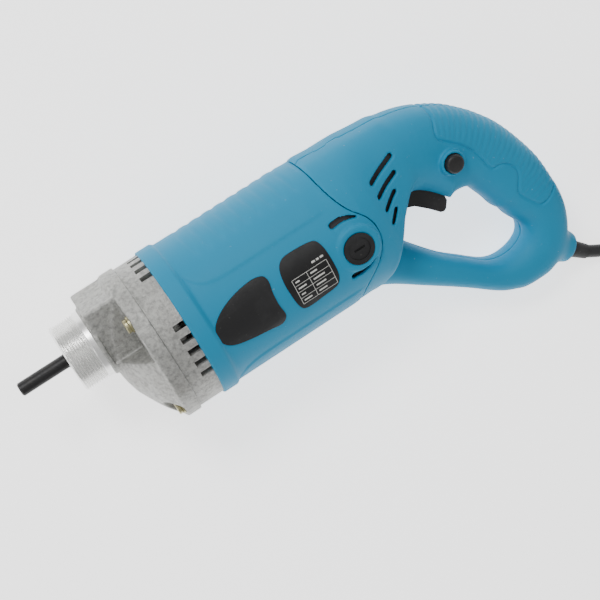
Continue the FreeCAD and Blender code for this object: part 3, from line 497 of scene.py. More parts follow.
def cord_boss_field(p):
    """Tapered boss that the cord leaves through, with a flat end, and the bore through it."""
    run = CORD_BOSS_END - CORD_BOSS_ROOT
    length = np.linalg.norm(run)
    along = (p - CORD_BOSS_ROOT) @ run / length
    radial = np.linalg.norm(p - CORD_BOSS_ROOT - (along / length)[:, None] * run, axis=1)
    radius = np.interp(along, (0, length * 0.62, length), CORD_BOSS_RADII)
    bore = np.maximum(radial - CORD_BORE_RADIUS, CORD_BORE_START - along)
    return smooth_max(radial - radius, np.maximum(along - length, -along), 2.0), bore


PARTING_STEP = 1.8
PARTING_OFFSET = 0.4


def parting(x):
    """Z of the parting line between the two halves: it steps sideways behind the hood."""
    sideways = smooth_step(x, 113, 114.5) - smooth_step(x, 120, 121.5) + smooth_step(x, 128, 129.5)
    return PARTING_STEP * sideways - PARTING_OFFSET


BUTTON = (176.1, 2.6)
BUTTON_RING_RADIUS = 7.6
BUTTON_RING_FACE = 24.4
BUTTON_RING_ROOT = 12.0
BUTTON_HOLE_RADIUS = 5.75
BUTTON_HOLE_FLOOR = 8.0
TRIGGER_SLOT_MIDDLE = (157.3, -17.0, 0.0)
TRIGGER_SLOT_HALF = (15.3, 13.0, 8.6)


def handle_half_field(side):
    """Field of the handle half on the near side (side 1) or the far side (side -1)."""
    def field(p):
        x = p[:, 0]
        z = p[:, 2] * side
        outside = handle_field(p)
        boss, cord_bore = cord_boss_field(p)
        solid = smooth_min(outside + grip_relief(p), boss, 4.0)
        from_button = np.hypot(x - BUTTON[0], p[:, 1] - BUTTON[1])
        if side > 0:
            ring = smooth_max(from_button - BUTTON_RING_RADIUS, z - BUTTON_RING_FACE, 1.0)
            solid = smooth_min(solid, np.maximum(ring, BUTTON_RING_ROOT - z), 1.6)
        shell = np.maximum(solid, -(outside + WALL))
        near_vents = (x > 122) & (x < 150) & (z > 6)
        shell = cut_slots(shell, p, near_vents, VENT_SLOTS, 0.9)
        if side > 0:
            hole = np.maximum(from_button - BUTTON_HOLE_RADIUS, BUTTON_HOLE_FLOOR - z)
            shell = smooth_max(shell, -hole, 0.5)
        trigger_slot = box_field(p, TRIGGER_SLOT_MIDDLE, TRIGGER_SLOT_HALF)
        shell = smooth_max(shell, -np.minimum(trigger_slot, cord_bore), 0.6)
        shell = smooth_max(shell, SEAM_GAP - edge_field(p), 0.4)
        return smooth_max(shell, SEAM_GAP - (p[:, 2] - parting(x)) * side, 0.35)
    return field


# The dark sheet made from these sizes is painted shade: it stands in for the shadow inside the vents and
# slots.
LINER_DEPTH = 1.2
LINER_HALF_THICKNESS = 0.5
LINER_MIDDLE = (119.5, 2.0)
LINER_HALF = (28.0, 37.0)
LINER_GAP_AT_MIDDLE = 12.0
LINER_HOLE_RADIUS = 9.8


def vent_shade_field(p):
    """Dark sheet just inside the vents and the brush slots, clear of the brush holder: painted shade standing
    in for the shadow inside the openings.
    """
    sheet = np.abs(handle_field(p) + WALL + LINER_DEPTH) - LINER_HALF_THICKNESS
    from_cap = np.hypot(p[:, 0] - BRUSH_X, p[:, 1])
    sheet = np.maximum(sheet, LINER_HOLE_RADIUS - from_cap)
    sheet = np.maximum(sheet, box_field(p, LINER_MIDDLE, LINER_HALF))
    return np.maximum(sheet, LINER_GAP_AT_MIDDLE - np.abs(p[:, 2]))


SHELL_STEPS = (0.7, 1.2)
LINER_STEPS = (0.6, 0.8)


def blue_shell():
    """Motor housing and the two halves of the handle."""
    return [
        field_piece("housing_shell", motor_housing_field, (-2, -48, -48), (120, 48, 48), SHELL_STEPS,
                    ["motor_housing"]),
        field_piece("handle_near_shell", handle_half_field(1), (88, -108, -3), (240, 50, 47), SHELL_STEPS,
                    ["handle_near_half"]),
        field_piece("handle_far_shell", handle_half_field(-1), (88, -108, -47), (240, 50, 3), SHELL_STEPS,
                    ["handle_far_half"]),
    ]


def painted_vent_shade():
    """Dark sheet behind the slots that hides the motor: painted shade standing in for the shadow inside the
    vents.
    """
    return field_piece("vent_shade_sheet", vent_shade_field, (88, -38, -48), (150, 42, 48), LINER_STEPS,
                       [])


# ---------------------------------------------------------------- cast gear case
FLANGE_RADIUS = 46.2
FLANGE_FRONT = -24.0
CASE_FRONT = -43.0
CASE_BACK = -15.0
CASE_JOINT_GAP = 0.15
TOWER_TOP = 42.0
TOWER_BOTTOM = 7.6
TOWER_HALF_WIDTH = 17.4
NECK_RADIUS = 21.2
NECK_BACK = -38.5
POCKET_BOTTOM = 8.6
SCREW_CIRCLE = 40.6
SCREW_POCKET_RADIUS = 6.7
SCREW_HOLE_RADIUS = 2.2
COLLAR_SEAT_RADIUS = 16.05
BEARING_SEAT_RADIUS = 16.4
PINION_SPACE_RADIUS = 7.75
SEAT_STEP = -34.5

# Outline of the domed front: X, radius.
DOME_FRONT = -42.3
DOME = np.array([
    (-42.5, 8.0), (-41.3, 13.5), (-39.4, 20.0), (-36.6, 25.6), (-33.7, 31.3), (-30.9, 36.0), (-27.0, 41.3),
    (-24.1, 44.7), (-20.0, 46.2),
])


def gear_case_body(x, y, z):
    """The casting without its bores: dome, pockets beside the tower, tower, neck, flange and ring."""
    from_axis = np.hypot(y, z)
    from_spindle = np.hypot(y - SPINDLE_OFFSET, z)
    dome = (from_axis - np.interp(x, DOME[:, 0], DOME[:, 1])) * 0.72
    dome = smooth_max(np.maximum(dome, x - FLANGE_FRONT), DOME_FRONT - x, 1.5)
    pocket = smooth_max(TOWER_HALF_WIDTH - z, POCKET_BOTTOM - y, 0.8)
    pocket = smooth_max(pocket, x - FLANGE_FRONT, 0.6)
    dome = smooth_max(dome, -pocket, 0.8)
    flange = smooth_max(from_axis - FLANGE_RADIUS, -x + FLANGE_FRONT, 1.6)
    tower = smooth_max(smooth_max(z - TOWER_HALF_WIDTH, y - TOWER_TOP, 1.4), -y, 1.0)
    tower = smooth_max(smooth_max(tower, CASE_FRONT - x, 1.2), TOWER_BOTTOM - y, 1.2)
    neck = smooth_max(from_spindle - NECK_RADIUS, CASE_FRONT - x, 0.8)
    neck = smooth_max(smooth_max(neck, x - NECK_BACK, 2.0), -pocket, 0.8)
    tower = np.maximum(tower, x - FLANGE_FRONT - 2)
    neck = np.maximum(neck, x - FLANGE_FRONT - 2)
    body = smooth_min(smooth_min(smooth_min(dome, tower, 1.8), neck, 1.5), flange, 0.8)
    ring = smooth_max(from_spindle - NECK_RADIUS + 0.2, CASE_FRONT - 1.5 - x, 0.6)
    return np.minimum(body, np.maximum(ring, x - CASE_FRONT - 1))


def gear_case_field(p):
    """The casting with its screw pockets and holes, the spindle's seats and the pinion's space."""
    x = p[:, 0]
    y = p[:, 1]
    z = np.abs(p[:, 2])
    reach = SCREW_CIRCLE * math.sqrt(0.5)
    from_screw = np.hypot(np.abs(y) - reach, z - reach)
    screw_pocket = np.maximum(from_screw - SCREW_POCKET_RADIUS, x - FLANGE_FRONT)
    body = smooth_max(gear_case_body(x, y, z), -screw_pocket, 0.7)
    seat_radius = np.where(x < SEAT_STEP, COLLAR_SEAT_RADIUS, BEARING_SEAT_RADIUS)
    seat = np.hypot(y - SPINDLE_OFFSET, z) - seat_radius
    pinion_space = np.maximum(np.hypot(y, z) - PINION_SPACE_RADIUS, SEAT_STEP - x)
    for hole in (seat, pinion_space, from_screw - SCREW_HOLE_RADIUS):
        body = np.maximum(body, -hole)
    return smooth_max(body, x - CASE_BACK + CASE_JOINT_GAP, 0.4)


CASE_STEPS = (0.6, 1.0)


def gear_case():
    """Cast front of the tool, behind the threaded collar."""
    return field_piece("gear_case_casting", gear_case_field, (-47, -48, -48), (-13, 48, 48), CASE_STEPS,
                       ["gear_case"])


# ---------------------------------------------------------------- turned and threaded parts
COLLAR_RADIUS = 20.0
COLLAR_FRONT = -62.6
COLLAR_BACK = -44.5
SPIGOT_BACK = -35.0
SPIGOT_RADIUS = 16.0
MOUTH_RADIUS = 14.0
MOUTH_BACK = -47.0
COLLAR_BORE_RADIUS = 11.0
THREAD_PITCH = 1.5
THREAD_DEPTH = 1.2
THREAD_RUN_OUT = 1.2
THREAD_START = -61.7
THREAD_END = -47.6
THREAD_STEPS = 224
AROUND = 160


def revolve(profile, centre_y, wave):
    """Vertices and quads of a closed profile of (x, radius), waved, turned about X at centre_y."""
    vertices = []
    for place in range(AROUND):
        angle = 2 * math.pi * place / AROUND
        for x, radius in profile:
            r = radius + wave(x, angle, radius)
            vertices.append((x, centre_y + r * math.cos(angle), r * math.sin(angle)))
    count = len(profile)
    faces = []
    for place in range(AROUND):
        following = (place + 1) % AROUND
        for k in range(count):
            j = (k + 1) % count
            corners = ((place, k), (place, j), (following, j), (following, k))
            faces.append(tuple(row * count + column for row, column in corners))
    return vertices, faces


def thread_wave(x, angle, radius):
    """How far the helical thread changes the radius of the collar's outside."""
    if radius < COLLAR_RADIUS - 0.05 or not THREAD_START < x < THREAD_END:
        return 0.0
    turn = (x / THREAD_PITCH - angle / (2 * math.pi)) % 1.0
    ridge = abs(turn - 0.5) * 2
    ends = min((x - THREAD_START) / THREAD_RUN_OUT, (THREAD_END - x) / THREAD_RUN_OUT, 1.0)
    return -THREAD_DEPTH * ends * min(max((ridge - 0.14) / 0.72, 0), 1)


def thread_collar():
    """Turned collar with a helical thread, a chamfered mouth and a plain band next to the casting."""
    step = (THREAD_END - THREAD_START) / THREAD_STEPS
    outside = [(THREAD_START + step * k, COLLAR_RADIUS) for k in range(THREAD_STEPS + 1)]
    profile = [
        (MOUTH_BACK, MOUTH_RADIUS),
        (COLLAR_FRONT + 1.7, MOUTH_RADIUS),
        (COLLAR_FRONT + 0.7, MOUTH_RADIUS + 0.35),
        (COLLAR_FRONT, MOUTH_RADIUS + 1.0),
        (COLLAR_FRONT, COLLAR_RADIUS - 1.1),
        (COLLAR_FRONT + 0.3, COLLAR_RADIUS - 0.75),
        *outside,
        (COLLAR_BACK - 2.6, COLLAR_RADIUS),
        (COLLAR_BACK, COLLAR_RADIUS),
        (COLLAR_BACK, SPIGOT_RADIUS),
        (SPIGOT_BACK, SPIGOT_RADIUS),
        (SPIGOT_BACK, COLLAR_BORE_RADIUS),
        (MOUTH_BACK, COLLAR_BORE_RADIUS),
    ]
    vertices, faces = revolve(profile, SPINDLE_OFFSET, thread_wave)
    piece = mesh_piece("threaded_collar", vertices, faces, "tool", ["thread_collar"])
    piece.data.set_sharp_from_angle(angle=math.radians(75))
    return piece


# ---------------------------------------------------------------- CAD pieces with broken edges
# Width of the bevel, in metres.
BEVELS = {
    "trigger": 0.0011,
    "lock_button": 0.0006,
    "brush_caps": 0.0005,
    "brush_holders": 0.0006,
    "plug_body": 0.0016,
    "plug_pins": 0.0004,
    "case_screws": 0.0005,
    "side_pads": 0.00018,
    "cord_sleeve": 0.0007,
}
BEVEL_SEGMENTS = 3
BEVEL_ANGLE = math.radians(32)
FLAT_ANGLE = math.radians(2)
COPY_CREASE = math.radians(40)


def tidy_mesh(mesh):
    """Joins doubled vertices and flat triangles, so that a bevel runs cleanly along the edges."""
    shell = bmesh.new()
    shell.from_mesh(mesh)
    bmesh.ops.remove_doubles(shell, verts=shell.verts, dist=1e-6)
    bmesh.ops.dissolve_limit(shell, angle_limit=FLAT_ANGLE, verts=shell.verts, edges=shell.edges,
                             use_dissolve_boundaries=False)
    shell.to_mesh(mesh)
    shell.free()


def bevelled_copy(node, width):
    """A copy of a CAD piece with its sharp edges broken by a small bevel."""
    source = nodes[node]
    copy = source.copy()
    copy.data = source.data.copy()
    copy.name = node + "_finished"
    bpy.context.scene.collection.objects.link(copy)
    copy.parent = None
    tidy_mesh(copy.data)
    bevel = copy.modifiers.new("bevel", "BEVEL")
    bevel.width = width
    bevel.segments = BEVEL_SEGMENTS
    bevel.limit_method = "ANGLE"
    bevel.angle_limit = BEVEL_ANGLE
    copy.data.shade_smooth()
    copy.data.set_sharp_from_angle(angle=COPY_CREASE)
    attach(copy, node_body[node])
    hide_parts(node)
    return copy


# ---------------------------------------------------------------- printed rating plate
# Places along X are in millimetres, and places round the housing in degrees up from its middle.
LABEL_RADIUS = 44.46
LABEL_LEFT = 60.0
LABEL_COLUMN = 69.4
LABEL_RIGHT = 82.2
LABEL_TOP = 7.5
LABEL_ROW = 5.2
LABEL_ROWS = 4
LINE_WIDTH = 0.26
DASH_HALF = 0.6
HEADING = (10.4, 11.8)
HEADING_DASHES = ((74.4, 76.6), (77.4, 79.0), (79.8, 81.8))


def label_strip(x0, x1, angle0, angle1):
    """A printed stroke that follows the round housing, from one angle to the other in degrees."""
    steps = max(2, int(abs(angle1 - angle0) / 2) + 1)
    vertices = []
    for k in range(steps + 1):
        angle = math.radians(angle0 + (angle1 - angle0) * k / steps)
        for x in (x0, x1):
            vertices.append((x, LABEL_RADIUS * math.sin(angle), LABEL_RADIUS * math.cos(angle)))
    faces = [(2 * k, 2 * k + 1, 2 * k + 3, 2 * k + 2) for k in range(steps)]
    return vertices, faces


def label_strokes():
    """Strokes of the table, the dashes that stand for its entries and those of its heading."""
    half = math.degrees(LINE_WIDTH / 2 / LABEL_RADIUS)
    bottom = LABEL_TOP - LABEL_ROWS * LABEL_ROW
    strokes = []
    for k in range(LABEL_ROWS + 1):
        angle = LABEL_TOP - k * LABEL_ROW
        strokes.append((LABEL_LEFT, LABEL_RIGHT, angle - half, angle + half))
    for x in (LABEL_LEFT, LABEL_COLUMN, LABEL_RIGHT):
        strokes.append((x - LINE_WIDTH / 2, x + LINE_WIDTH / 2, bottom, LABEL_TOP))
    for k in range(LABEL_ROWS):
        middle = LABEL_TOP - (k + 0.5) * LABEL_ROW
        dashes = ((LABEL_LEFT + 1.4, 64.0 + (k % 2) * 2.4), (LABEL_COLUMN + 1.6, 75.2 + (k * 7 % 4)))
        for start, end in dashes:
            strokes.append((start, end, middle - DASH_HALF, middle + DASH_HALF))
    for start, end in HEADING_DASHES:
        strokes.append((start, end, *HEADING))
    return strokes


def label_print():
    """The white table and dashes of the rating plate, as one thin printed piece."""
    vertices = []
    faces = []
    for stroke in label_strokes():
        more, quads = label_strip(*stroke)
        faces += [tuple(len(vertices) + i for i in quad) for quad in quads]
        vertices += more
    return mesh_piece("plate_print", vertices, faces, "tool")


# ---------------------------------------------------------------- materials
def linear_channel(value):
    """One 0 to 255 sRGB value as the shader wants it."""
    share = value / 255
    return share / 12.92 if share <= 0.04045 else ((share + 0.055) / 1.055) ** 2.4


def linear(red, green, blue):
    """A colour given as 0 to 255 sRGB values, as the shader wants it."""
    return (linear_channel(red), linear_channel(green), linear_channel(blue), 1.0)


def shifted(colour, gain, lift=0.0):
    """A shader colour made lighter or darker."""
    return tuple(min(channel * gain + lift, 1.0) for channel in colour[:3]) + (1.0,)


class Finish:
    """A node material built up in layers: base colour, blotches, grain, scuffs and dust."""

    # Sockets of the colour mix node: its factor and its two colours, and its colour result.
    MIX_FACTOR = 0
    MIX_UNDER = 6
    MIX_OVER = 7
    MIX_RESULT = 2

    def __init__(self, name, colour, roughness, metallic=0.0, specular=0.5, coat=0.0):
        self.material = bpy.data.materials.new(name)
        self.material.use_nodes = True
        self.tree = self.material.node_tree
        self.shader = self.tree.nodes["Principled BSDF"]
        self.shader.inputs["Base Color"].default_value = colour
        self.shader.inputs["Roughness"].default_value = roughness
        self.shader.inputs["Metallic"].default_value = metallic
        self.shader.inputs["Specular IOR Level"].default_value = specular
        self.shader.inputs["Coat Weight"].default_value = coat
        self.material.diffuse_color = colour
        self.colour = colour
        self.colour_output = None
        self.bump_output = None
        self.coordinates = self.node("ShaderNodeTexCoord")

    def node(self, kind, **settings):
        made = self.tree.nodes.new(kind)
        for key, value in settings.items():
            setattr(made, key, value)
        return made

    def link(self, output, target):
        self.tree.links.new(output, target)

    def noise(self, scale, detail=4.0, roughness=0.55, stretch=None):
        """Noise in object space, with an optional stretch of its three axes."""
        source = self.coordinates.outputs["Object"]
        if stretch:
            mapping = self.node("ShaderNodeMapping")
            mapping.inputs["Scale"].default_value = stretch
            self.link(source, mapping.inputs["Vector"])
            source = mapping.outputs["Vector"]
        noise = self.node("ShaderNodeTexNoise")
        noise.inputs["Scale"].default_value = scale
        noise.inputs["Detail"].default_value = detail
        noise.inputs["Roughness"].default_value = roughness
        self.link(source, noise.inputs["Vector"])
        return noise.outputs["Fac"]

    def ramp(self, factor, low, high):
        """The factor stretched so that low becomes 0 and high becomes 1."""
        mapped = self.node("ShaderNodeMapRange")
        mapped.inputs["From Min"].default_value = low
        mapped.inputs["From Max"].default_value = high
        self.link(factor, mapped.inputs["Value"])
        return mapped.outputs["Result"]

    def scaled(self, factor, amount):
        """The factor times a number, and never outside 0 to 1."""
        product = self.node("ShaderNodeMath", operation="MULTIPLY", use_clamp=True)
        product.inputs[1].default_value = amount
        self.link(factor, product.inputs[0])
        return product.outputs["Value"]

    def tint(self, factor, colour):
        """Lays another colour over the finish where the factor is high."""
        mix = self.node("ShaderNodeMix", data_type="RGBA")
        if self.colour_output is None:
            mix.inputs[self.MIX_UNDER].default_value = self.colour
        else:
            self.link(self.colour_output, mix.inputs[self.MIX_UNDER])
        mix.inputs[self.MIX_OVER].default_value = colour
        self.link(factor, mix.inputs[self.MIX_FACTOR])
        self.colour_output = mix.outputs[self.MIX_RESULT]
        self.link(self.colour_output, self.shader.inputs["Base Color"])

    def roughen(self, factor, low, high):
        """Lets the roughness wander between two values with the factor."""
        mapped = self.node("ShaderNodeMapRange")
        mapped.inputs["To Min"].default_value = low
        mapped.inputs["To Max"].default_value = high
        self.link(factor, mapped.inputs["Value"])
        self.link(mapped.outputs["Result"], self.shader.inputs["Roughness"])

    def emboss(self, factor, height, strength=1.0):
        """Adds relief of the given height in metres."""
        bump = self.node("ShaderNodeBump")
        bump.inputs["Strength"].default_value = strength
        bump.inputs["Distance"].default_value = height
        self.link(factor, bump.inputs["Height"])
        if self.bump_output is not None:
            self.link(self.bump_output, bump.inputs["Normal"])
        self.bump_output = bump.outputs["Normal"]
        self.link(self.bump_output, self.shader.inputs["Normal"])

    def edge_wear(self, colour, amount, radius):
        """Lighter, rubbed edges: the bevelled normal turns away from the true normal there."""
        bevel = self.node("ShaderNodeBevel", samples=4)
        bevel.inputs["Radius"].default_value = radius
        geometry = self.node("ShaderNodeNewGeometry")
        dot = self.node("ShaderNodeVectorMath", operation="DOT_PRODUCT")
        self.link(bevel.outputs["Normal"], dot.inputs[0])
        self.link(geometry.outputs["Normal"], dot.inputs[1])
        worn = self.ramp(dot.outputs["Value"], 0.995, 0.9)
        patches = self.ramp(self.noise(180.0, 3.0), 0.38, 0.62)
        product = self.node("ShaderNodeMath", operation="MULTIPLY")
        self.link(worn, product.inputs[0])
        self.link(patches, product.inputs[1])
        self.tint(self.scaled(product.outputs["Value"], amount), colour)


def blue_plastic():
    """Satin moulded plastic with fine spark grain, faint clouding, hairline scuffs and pale dust."""
    finish = Finish("blue_plastic", linear(26, 138, 178), 0.5, specular=0.14)
    clouds = finish.noise(24.0, 3.0)
    finish.tint(finish.scaled(finish.ramp(clouds, 0.35, 0.7), 0.16), linear(40, 148, 184))
    scuffs = finish.ramp(finish.noise(60.0, 6.0, 0.7, (1.0, 9.0, 2.0)), 0.66, 0.74)
    finish.tint(finish.scaled(scuffs, 0.12), linear(100, 176, 204))
    dust = finish.ramp(finish.noise(420.0, 2.0, 0.6), 0.72, 0.78)
    finish.tint(finish.scaled(dust, 0.18), linear(196, 210, 214))
    finish.edge_wear(linear(110, 178, 202), 0.35, 0.0007)
    finish.roughen(finish.noise(90.0, 5.0), 0.45, 0.6)
    finish.emboss(finish.noise(2600.0, 2.0), 0.00003, 0.5)
    finish.emboss(finish.noise(70.0, 2.0), 0.00012, 0.25)
    return finish.material


def cast_metal():
    """Sand-cast aluminium: pitted, mottled grey with darker stains here and there and rubbed edges."""
    finish = Finish("cast_aluminium", linear(176, 176, 172), 0.5, metallic=0.6)
    blotches = finish.ramp(finish.noise(420.0, 6.0, 0.7), 0.42, 0.62)
    finish.tint(finish.scaled(blotches, 0.62), linear(112, 113, 111))
    grime = finish.ramp(finish.noise(38.0, 5.0, 0.6), 0.54, 0.72)
    finish.tint(finish.scaled(grime, 0.30), linear(104, 100, 92))
    specks = finish.ramp(finish.noise(900.0, 3.0, 0.6), 0.62, 0.72)
    finish.tint(finish.scaled(specks, 0.55), linear(226, 226, 224))
    finish.edge_wear(linear(222, 222, 220), 0.6, 0.0008)
    finish.roughen(finish.noise(240.0, 4.0), 0.42, 0.68)
    finish.emboss(finish.noise(700.0, 5.0, 0.62), 0.00035, 1.0)
    finish.emboss(finish.noise(140.0, 3.0), 0.00025, 0.5)
    return finish.material


def turned_metal():
    """Bright turned aluminium with fine tool marks round the axis and a little handling grime."""
    finish = Finish("turned_aluminium", linear(244, 244, 242), 0.24, metallic=0.8)
    marks = finish.noise(60.0, 2.0, 0.5, (8.0, 1.0, 1.0))
    finish.roughen(marks, 0.20, 0.40)
    grime = finish.ramp(finish.noise(120.0, 5.0), 0.56, 0.76)
    finish.tint(finish.scaled(grime, 0.25), linear(160, 158, 152))
    return finish.material


def worked_steel(name, colour, roughness, metallic=1.0, stain=None):
    """Steel with drawn grain, small stains and slightly worn edges."""
    finish = Finish(name, colour, roughness, metallic=metallic)
    grain = finish.noise(140.0, 4.0, 0.5, (6.0, 1.0, 1.0))
    finish.roughen(grain, roughness * 0.8, min(roughness * 1.35, 1.0))
    if stain:
        patches = finish.ramp(finish.noise(160.0, 5.0), 0.50, 0.70)
        finish.tint(finish.scaled(patches, 0.5), stain)
    finish.edge_wear(shifted(colour, 1.6, 0.03), 0.5, 0.0004)
    finish.emboss(grain, 0.00002, 0.3)
    return finish.material


def dark_plastic(name, colour, roughness, grain_height=0.00006, dust_amount=0.22):
    """Dark moulded plastic or rubber with leather grain, a dry haze and specks of cement dust."""
    finish = Finish(name, colour, roughness, specular=0.4)
    pale = shifted(colour, 2.2, 0.012)
    haze = finish.ramp(finish.noise(70.0, 5.0), 0.45, 0.7)
    finish.tint(finish.scaled(haze, 0.35), pale)
    dust = finish.ramp(finish.noise(650.0, 3.0, 0.6), 0.66, 0.76)
    finish.tint(finish.scaled(dust, dust_amount), linear(140, 138, 134))
    finish.edge_wear(pale, 0.5, 0.0005)
    finish.roughen(finish.noise(160.0, 4.0), roughness * 0.85, min(roughness * 1.2, 1.0))
    finish.emboss(finish.noise(1500.0, 3.0), grain_height, 0.6)
    return finish.material


def plain_finish(name, colour, roughness, metallic=0.0, coat=0.0):
    """Small inner and printed parts: one colour with gentle blotches and a light grain."""
    finish = Finish(name, colour, roughness, metallic, coat=coat)
    blotches = finish.ramp(finish.noise(110.0, 4.0), 0.42, 0.7)
    finish.tint(finish.scaled(blotches, 0.4), shifted(colour, 0.72))
    finish.roughen(finish.noise(200.0, 3.0), roughness * 0.85, min(roughness * 1.25, 1.0))
    finish.emboss(finish.noise(900.0, 3.0), 0.00003, 0.35)
    return finish.material


def make_finishes():
    """Every material, by the name of its slot."""
    return {
        "blue_plastic": blue_plastic(),
        "cast_aluminium": cast_metal(),
        "turned_aluminium": turned_metal(),
        "blackened_steel": worked_steel("blackened_steel", linear(34, 34, 35), 0.45, 0.4, linear(48, 44, 40)),
        "machined_steel": worked_steel("machined_steel", linear(176, 178, 180), 0.3),
        "spring_steel": worked_steel("spring_steel", linear(150, 152, 155), 0.32),
        "bearing_steel": worked_steel("bearing_steel", linear(204, 206, 208), 0.16),
        "laminated_steel": worked_steel("laminated_steel", linear(104, 104, 106), 0.5),
        "zinc_yellow": worked_steel("zinc_yellow", linear(178, 172, 136), 0.34, 0.9, linear(104, 92, 66)),
        "plug_nickel": worked_steel("plug_nickel", linear(206, 204, 196), 0.2),
        "copper_winding": plain_finish("copper_winding", linear(92, 44, 26), 0.4, 0.4, coat=0.4),
        "copper_bars": plain_finish("copper_bars", linear(196, 126, 84), 0.3, 1.0),
        "moulded_nylon": dark_plastic("moulded_nylon", linear(44, 44, 46), 0.5),
        "black_plastic": dark_plastic("black_plastic", linear(28, 28, 29), 0.5),
        "trigger_plastic": dark_plastic("trigger_plastic", linear(34, 33, 33), 0.5, 0.00004),
        "plate_black": dark_plastic("plate_black", linear(24, 24, 25), 0.4, 0.00001, 0.1),
        "black_rubber": dark_plastic("black_rubber", linear(40, 40, 41), 0.62, 0.00008),
        "cord_sheath": dark_plastic("cord_sheath", linear(46, 46, 47), 0.55, 0.00005),
        "carbon": plain_finish("carbon", linear(52, 52, 54), 0.6),
        "capacitor_yellow": plain_finish("capacitor_yellow", linear(214, 178, 60), 0.28, coat=0.4),
        "terminal_white": plain_finish("terminal_white", linear(214, 213, 208), 0.45),
    }


def give_finish(target, finish):
    """Makes the finish the object's only material."""
    target.data.materials.clear()
    target.data.materials.append(finish)


# ---------------------------------------------------------------- mains cord
# In metres and in the frame's own axes, like the cord's run in the CAD source.
CORD_RADIUS = 0.004
CORD_EXIT = (0.1641, -0.0728, 0.0076)
CORD_ROUTE = (
    CORD_EXIT,
    (0.1731, -0.0784, 0.0048),
    (0.1856, -0.0836, 0.0040),
    (0.2036, -0.0884, 0.0040),
    (0.2270, -0.0912, 0.0040),
)
PLUG_LEAD = (
    (0.2780, -0.0939, 0.0200),
    (0.2890, -0.0943, 0.0130),
    (0.2980, -0.09465, 0.0095),
    (0.3080, -0.0950, 0.0095),
)
COIL_CENTRE = (0.2580, -0.0495)
COIL_RADII = (0.0444, 0.0362, 0.0280)
COIL_LAYERS = (0.0040, 0.0122, 0.0204)
COIL_ENTRY = -97.0
COIL_TURNS = 7.0194
POINTS_PER_TURN = 24

# Turns made, and the ring and the layer that the cord lies in by then; it moves over in between.
COIL_PLAN = (
    (0.0, 0, 0), (0.9, 0, 0), (1.1, 1, 0), (1.9, 1, 0), (2.1, 2, 0), (2.85, 2, 0), (3.15, 2, 1), (3.9, 2, 1),
    (4.1, 1, 1), (4.9, 1, 1), (5.1, 0, 1), (5.85, 0, 1), (6.15, 0, 2), (7.1, 0, 2),
)


def coil_points():
    """Middle line of the coil: inwards on the floor, outwards on top of that, and a turn above."""
    count = int(COIL_TURNS * POINTS_PER_TURN)
    turns = [turn for turn, _, _ in COIL_PLAN]
    radii = [COIL_RADII[ring] for _, ring, _ in COIL_PLAN]
    heights = [COIL_LAYERS[layer] for _, _, layer in COIL_PLAN]
    points = []
    for k in range(count + 1):
        turn = COIL_TURNS * k / count
        angle = math.radians(COIL_ENTRY + 360.0 * turn)
        radius = np.interp(turn, turns, radii)
        points.append((
            COIL_CENTRE[0] + radius * math.cos(angle),
            COIL_CENTRE[1] + radius * math.sin(angle),
            np.interp(turn, turns, heights),
        ))
    return points


def mains_cord():
    """The whole cord as one smooth curve; each point's radius gives the cord its thickness."""
    points = [*CORD_ROUTE, *coil_points(), *PLUG_LEAD]
    curve = bpy.data.curves.new("mains_cord", "CURVE")
    curve.dimensions = "3D"
    curve.bevel_depth = 1.0
    curve.bevel_resolution = 6
    curve.resolution_u = 6
    spline = curve.splines.new("NURBS")
    spline.points.add(len(points) - 1)
    for point, place in zip(spline.points, points):
        point.co = (*place, 1.0)
        point.radius = CORD_RADIUS
    spline.order_u = 3
    spline.use_endpoint_u = True
    cord = bpy.data.objects.new("mains_cord", curve)
    bpy.context.scene.collection.objects.link(cord)
    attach(cord, "tool")
    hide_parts("cord_run", "cord_coil", "cord_lead")
    return cord


# ---------------------------------------------------------------- floor, light and camera
FLOOR_HALF_SIDE = 3.0
FLOOR_GLOW = 1.7
WORLD_STRENGTH = 0.42
LIGHT_AIM = Vector((0.0, 0.0, 0.04))
WHITE = (1.0, 1.0, 1.0, 1.0)

# Name, place and size in metres, power in watts.
LIGHTS = (
    ("key", (-0.25, 0.9, 1.2), 0.45, 11.5),
    ("fill", (-1.0, -0.3, 0.9), 0.6, 3.0),
    ("top", (0.4, 0.1, 1.6), 0.6, 3.0),
)


def pale_floor():
    """White paper that glows a little, so that it stays bright round the tool."""
    corners = [(x * FLOOR_HALF_SIDE, y * FLOOR_HALF_SIDE, 0) for x, y in ((-1, -1), (1, -1), (1, 1), (-1, 1))]
    mesh = bpy.data.meshes.new("floor")
    mesh.from_pydata(corners, [], [(0, 1, 2, 3)])
    floor = bpy.data.objects.new("floor", mesh)
    bpy.context.scene.collection.objects.link(floor)
    paper = Finish("floor_paper", (0.9, 0.9, 0.9, 1.0), 0.9, specular=0.1)
    paper.shader.inputs["Emission Color"].default_value = WHITE
    paper.shader.inputs["Emission Strength"].default_value = FLOOR_GLOW
    give_finish(floor, paper.material)


def soft_light(name, place, size, power):
    """A round area light turned to the tool."""
    data = bpy.data.lights.new(name, "AREA")
    data.shape = "DISK"
    data.size = size
    data.energy = power
    lamp = bpy.data.objects.new(name, data)
    lamp.location = place
    lamp.rotation_euler = (LIGHT_AIM - Vector(place)).to_track_quat("-Z", "Y").to_euler()
    bpy.context.scene.collection.objects.link(lamp)


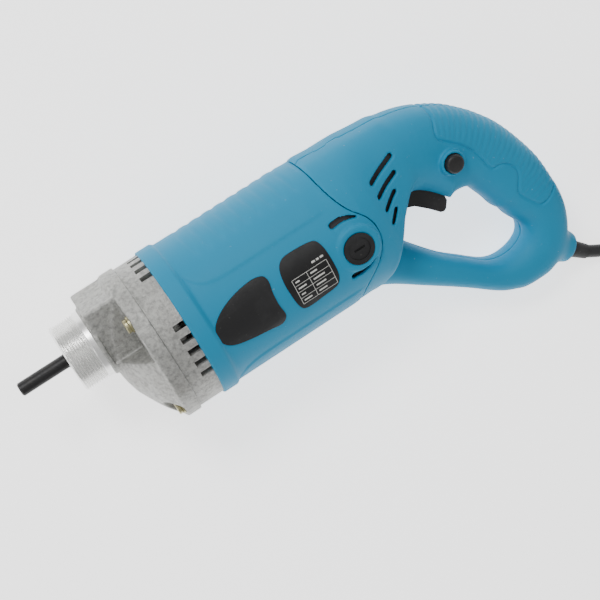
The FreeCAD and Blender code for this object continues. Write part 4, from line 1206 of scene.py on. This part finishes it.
def studio():
    """The lights and a plain white world."""
    for light in LIGHTS:
        soft_light(*light)
    world = bpy.data.worlds.new("studio")
    world.use_nodes = True
    background = world.node_tree.nodes["Background"]
    background.inputs["Color"].default_value = WHITE
    background.inputs["Strength"].default_value = WORLD_STRENGTH
    bpy.context.scene.world = world


# The camera's place and angles in the tool's axes: swung to the drive end and tilted to the top.
CAMERA_PLACE = Vector((-45.25, 336.51, 702.70))
CAMERA_SWING = math.radians(8.0)
CAMERA_TILT = math.radians(27.5)
CAMERA_ROLL = math.radians(33.1)
CAMERA_FIELD = math.radians(24.33)


def main_camera():
    """Looks down the tool's near side; the roll turns the motor axis up to the right."""
    away = Vector((
        -math.sin(CAMERA_SWING),
        math.cos(CAMERA_SWING) * math.sin(CAMERA_TILT),
        math.cos(CAMERA_SWING) * math.cos(CAMERA_TILT),
    ))
    across = (Vector((1, 0, 0)) + math.sin(CAMERA_SWING) * away) / math.cos(CAMERA_SWING)
    upward = away.cross(across)
    right = across * math.cos(CAMERA_ROLL) - upward * math.sin(CAMERA_ROLL)
    up = across * math.sin(CAMERA_ROLL) + upward * math.cos(CAMERA_ROLL)
    turned = TOOL_TO_ROW.to_3x3().normalized() @ Matrix((right, up, away)).transposed()
    data = bpy.data.cameras.new("camera")
    data.angle = CAMERA_FIELD
    camera = bpy.data.objects.new("camera", data)
    camera.matrix_world = Matrix.Translation(TOOL_TO_ROW @ CAMERA_PLACE) @ turned.to_4x4()
    bpy.context.scene.collection.objects.link(camera)
    bpy.context.scene.camera = camera


# ---------------------------------------------------------------- the whole model
finishes = make_finishes()
for node, cad_object in nodes.items():
    give_finish(cad_object, finishes[node_slot[node]])

for shell in blue_shell():
    give_finish(shell, finishes["blue_plastic"])
# The dark sheet behind the vents is painted shade, in the dark nylon finish.
give_finish(painted_vent_shade(), finishes["moulded_nylon"])
give_finish(gear_case(), finishes["cast_aluminium"])
give_finish(thread_collar(), finishes["turned_aluminium"])
for node, width in BEVELS.items():
    give_finish(bevelled_copy(node, width), finishes[node_slot[node]])
give_finish(label_print(), finishes["terminal_white"])

cord = mains_cord()
give_finish(cord, finishes["cord_sheath"])

pale_floor()
studio()
main_camera()
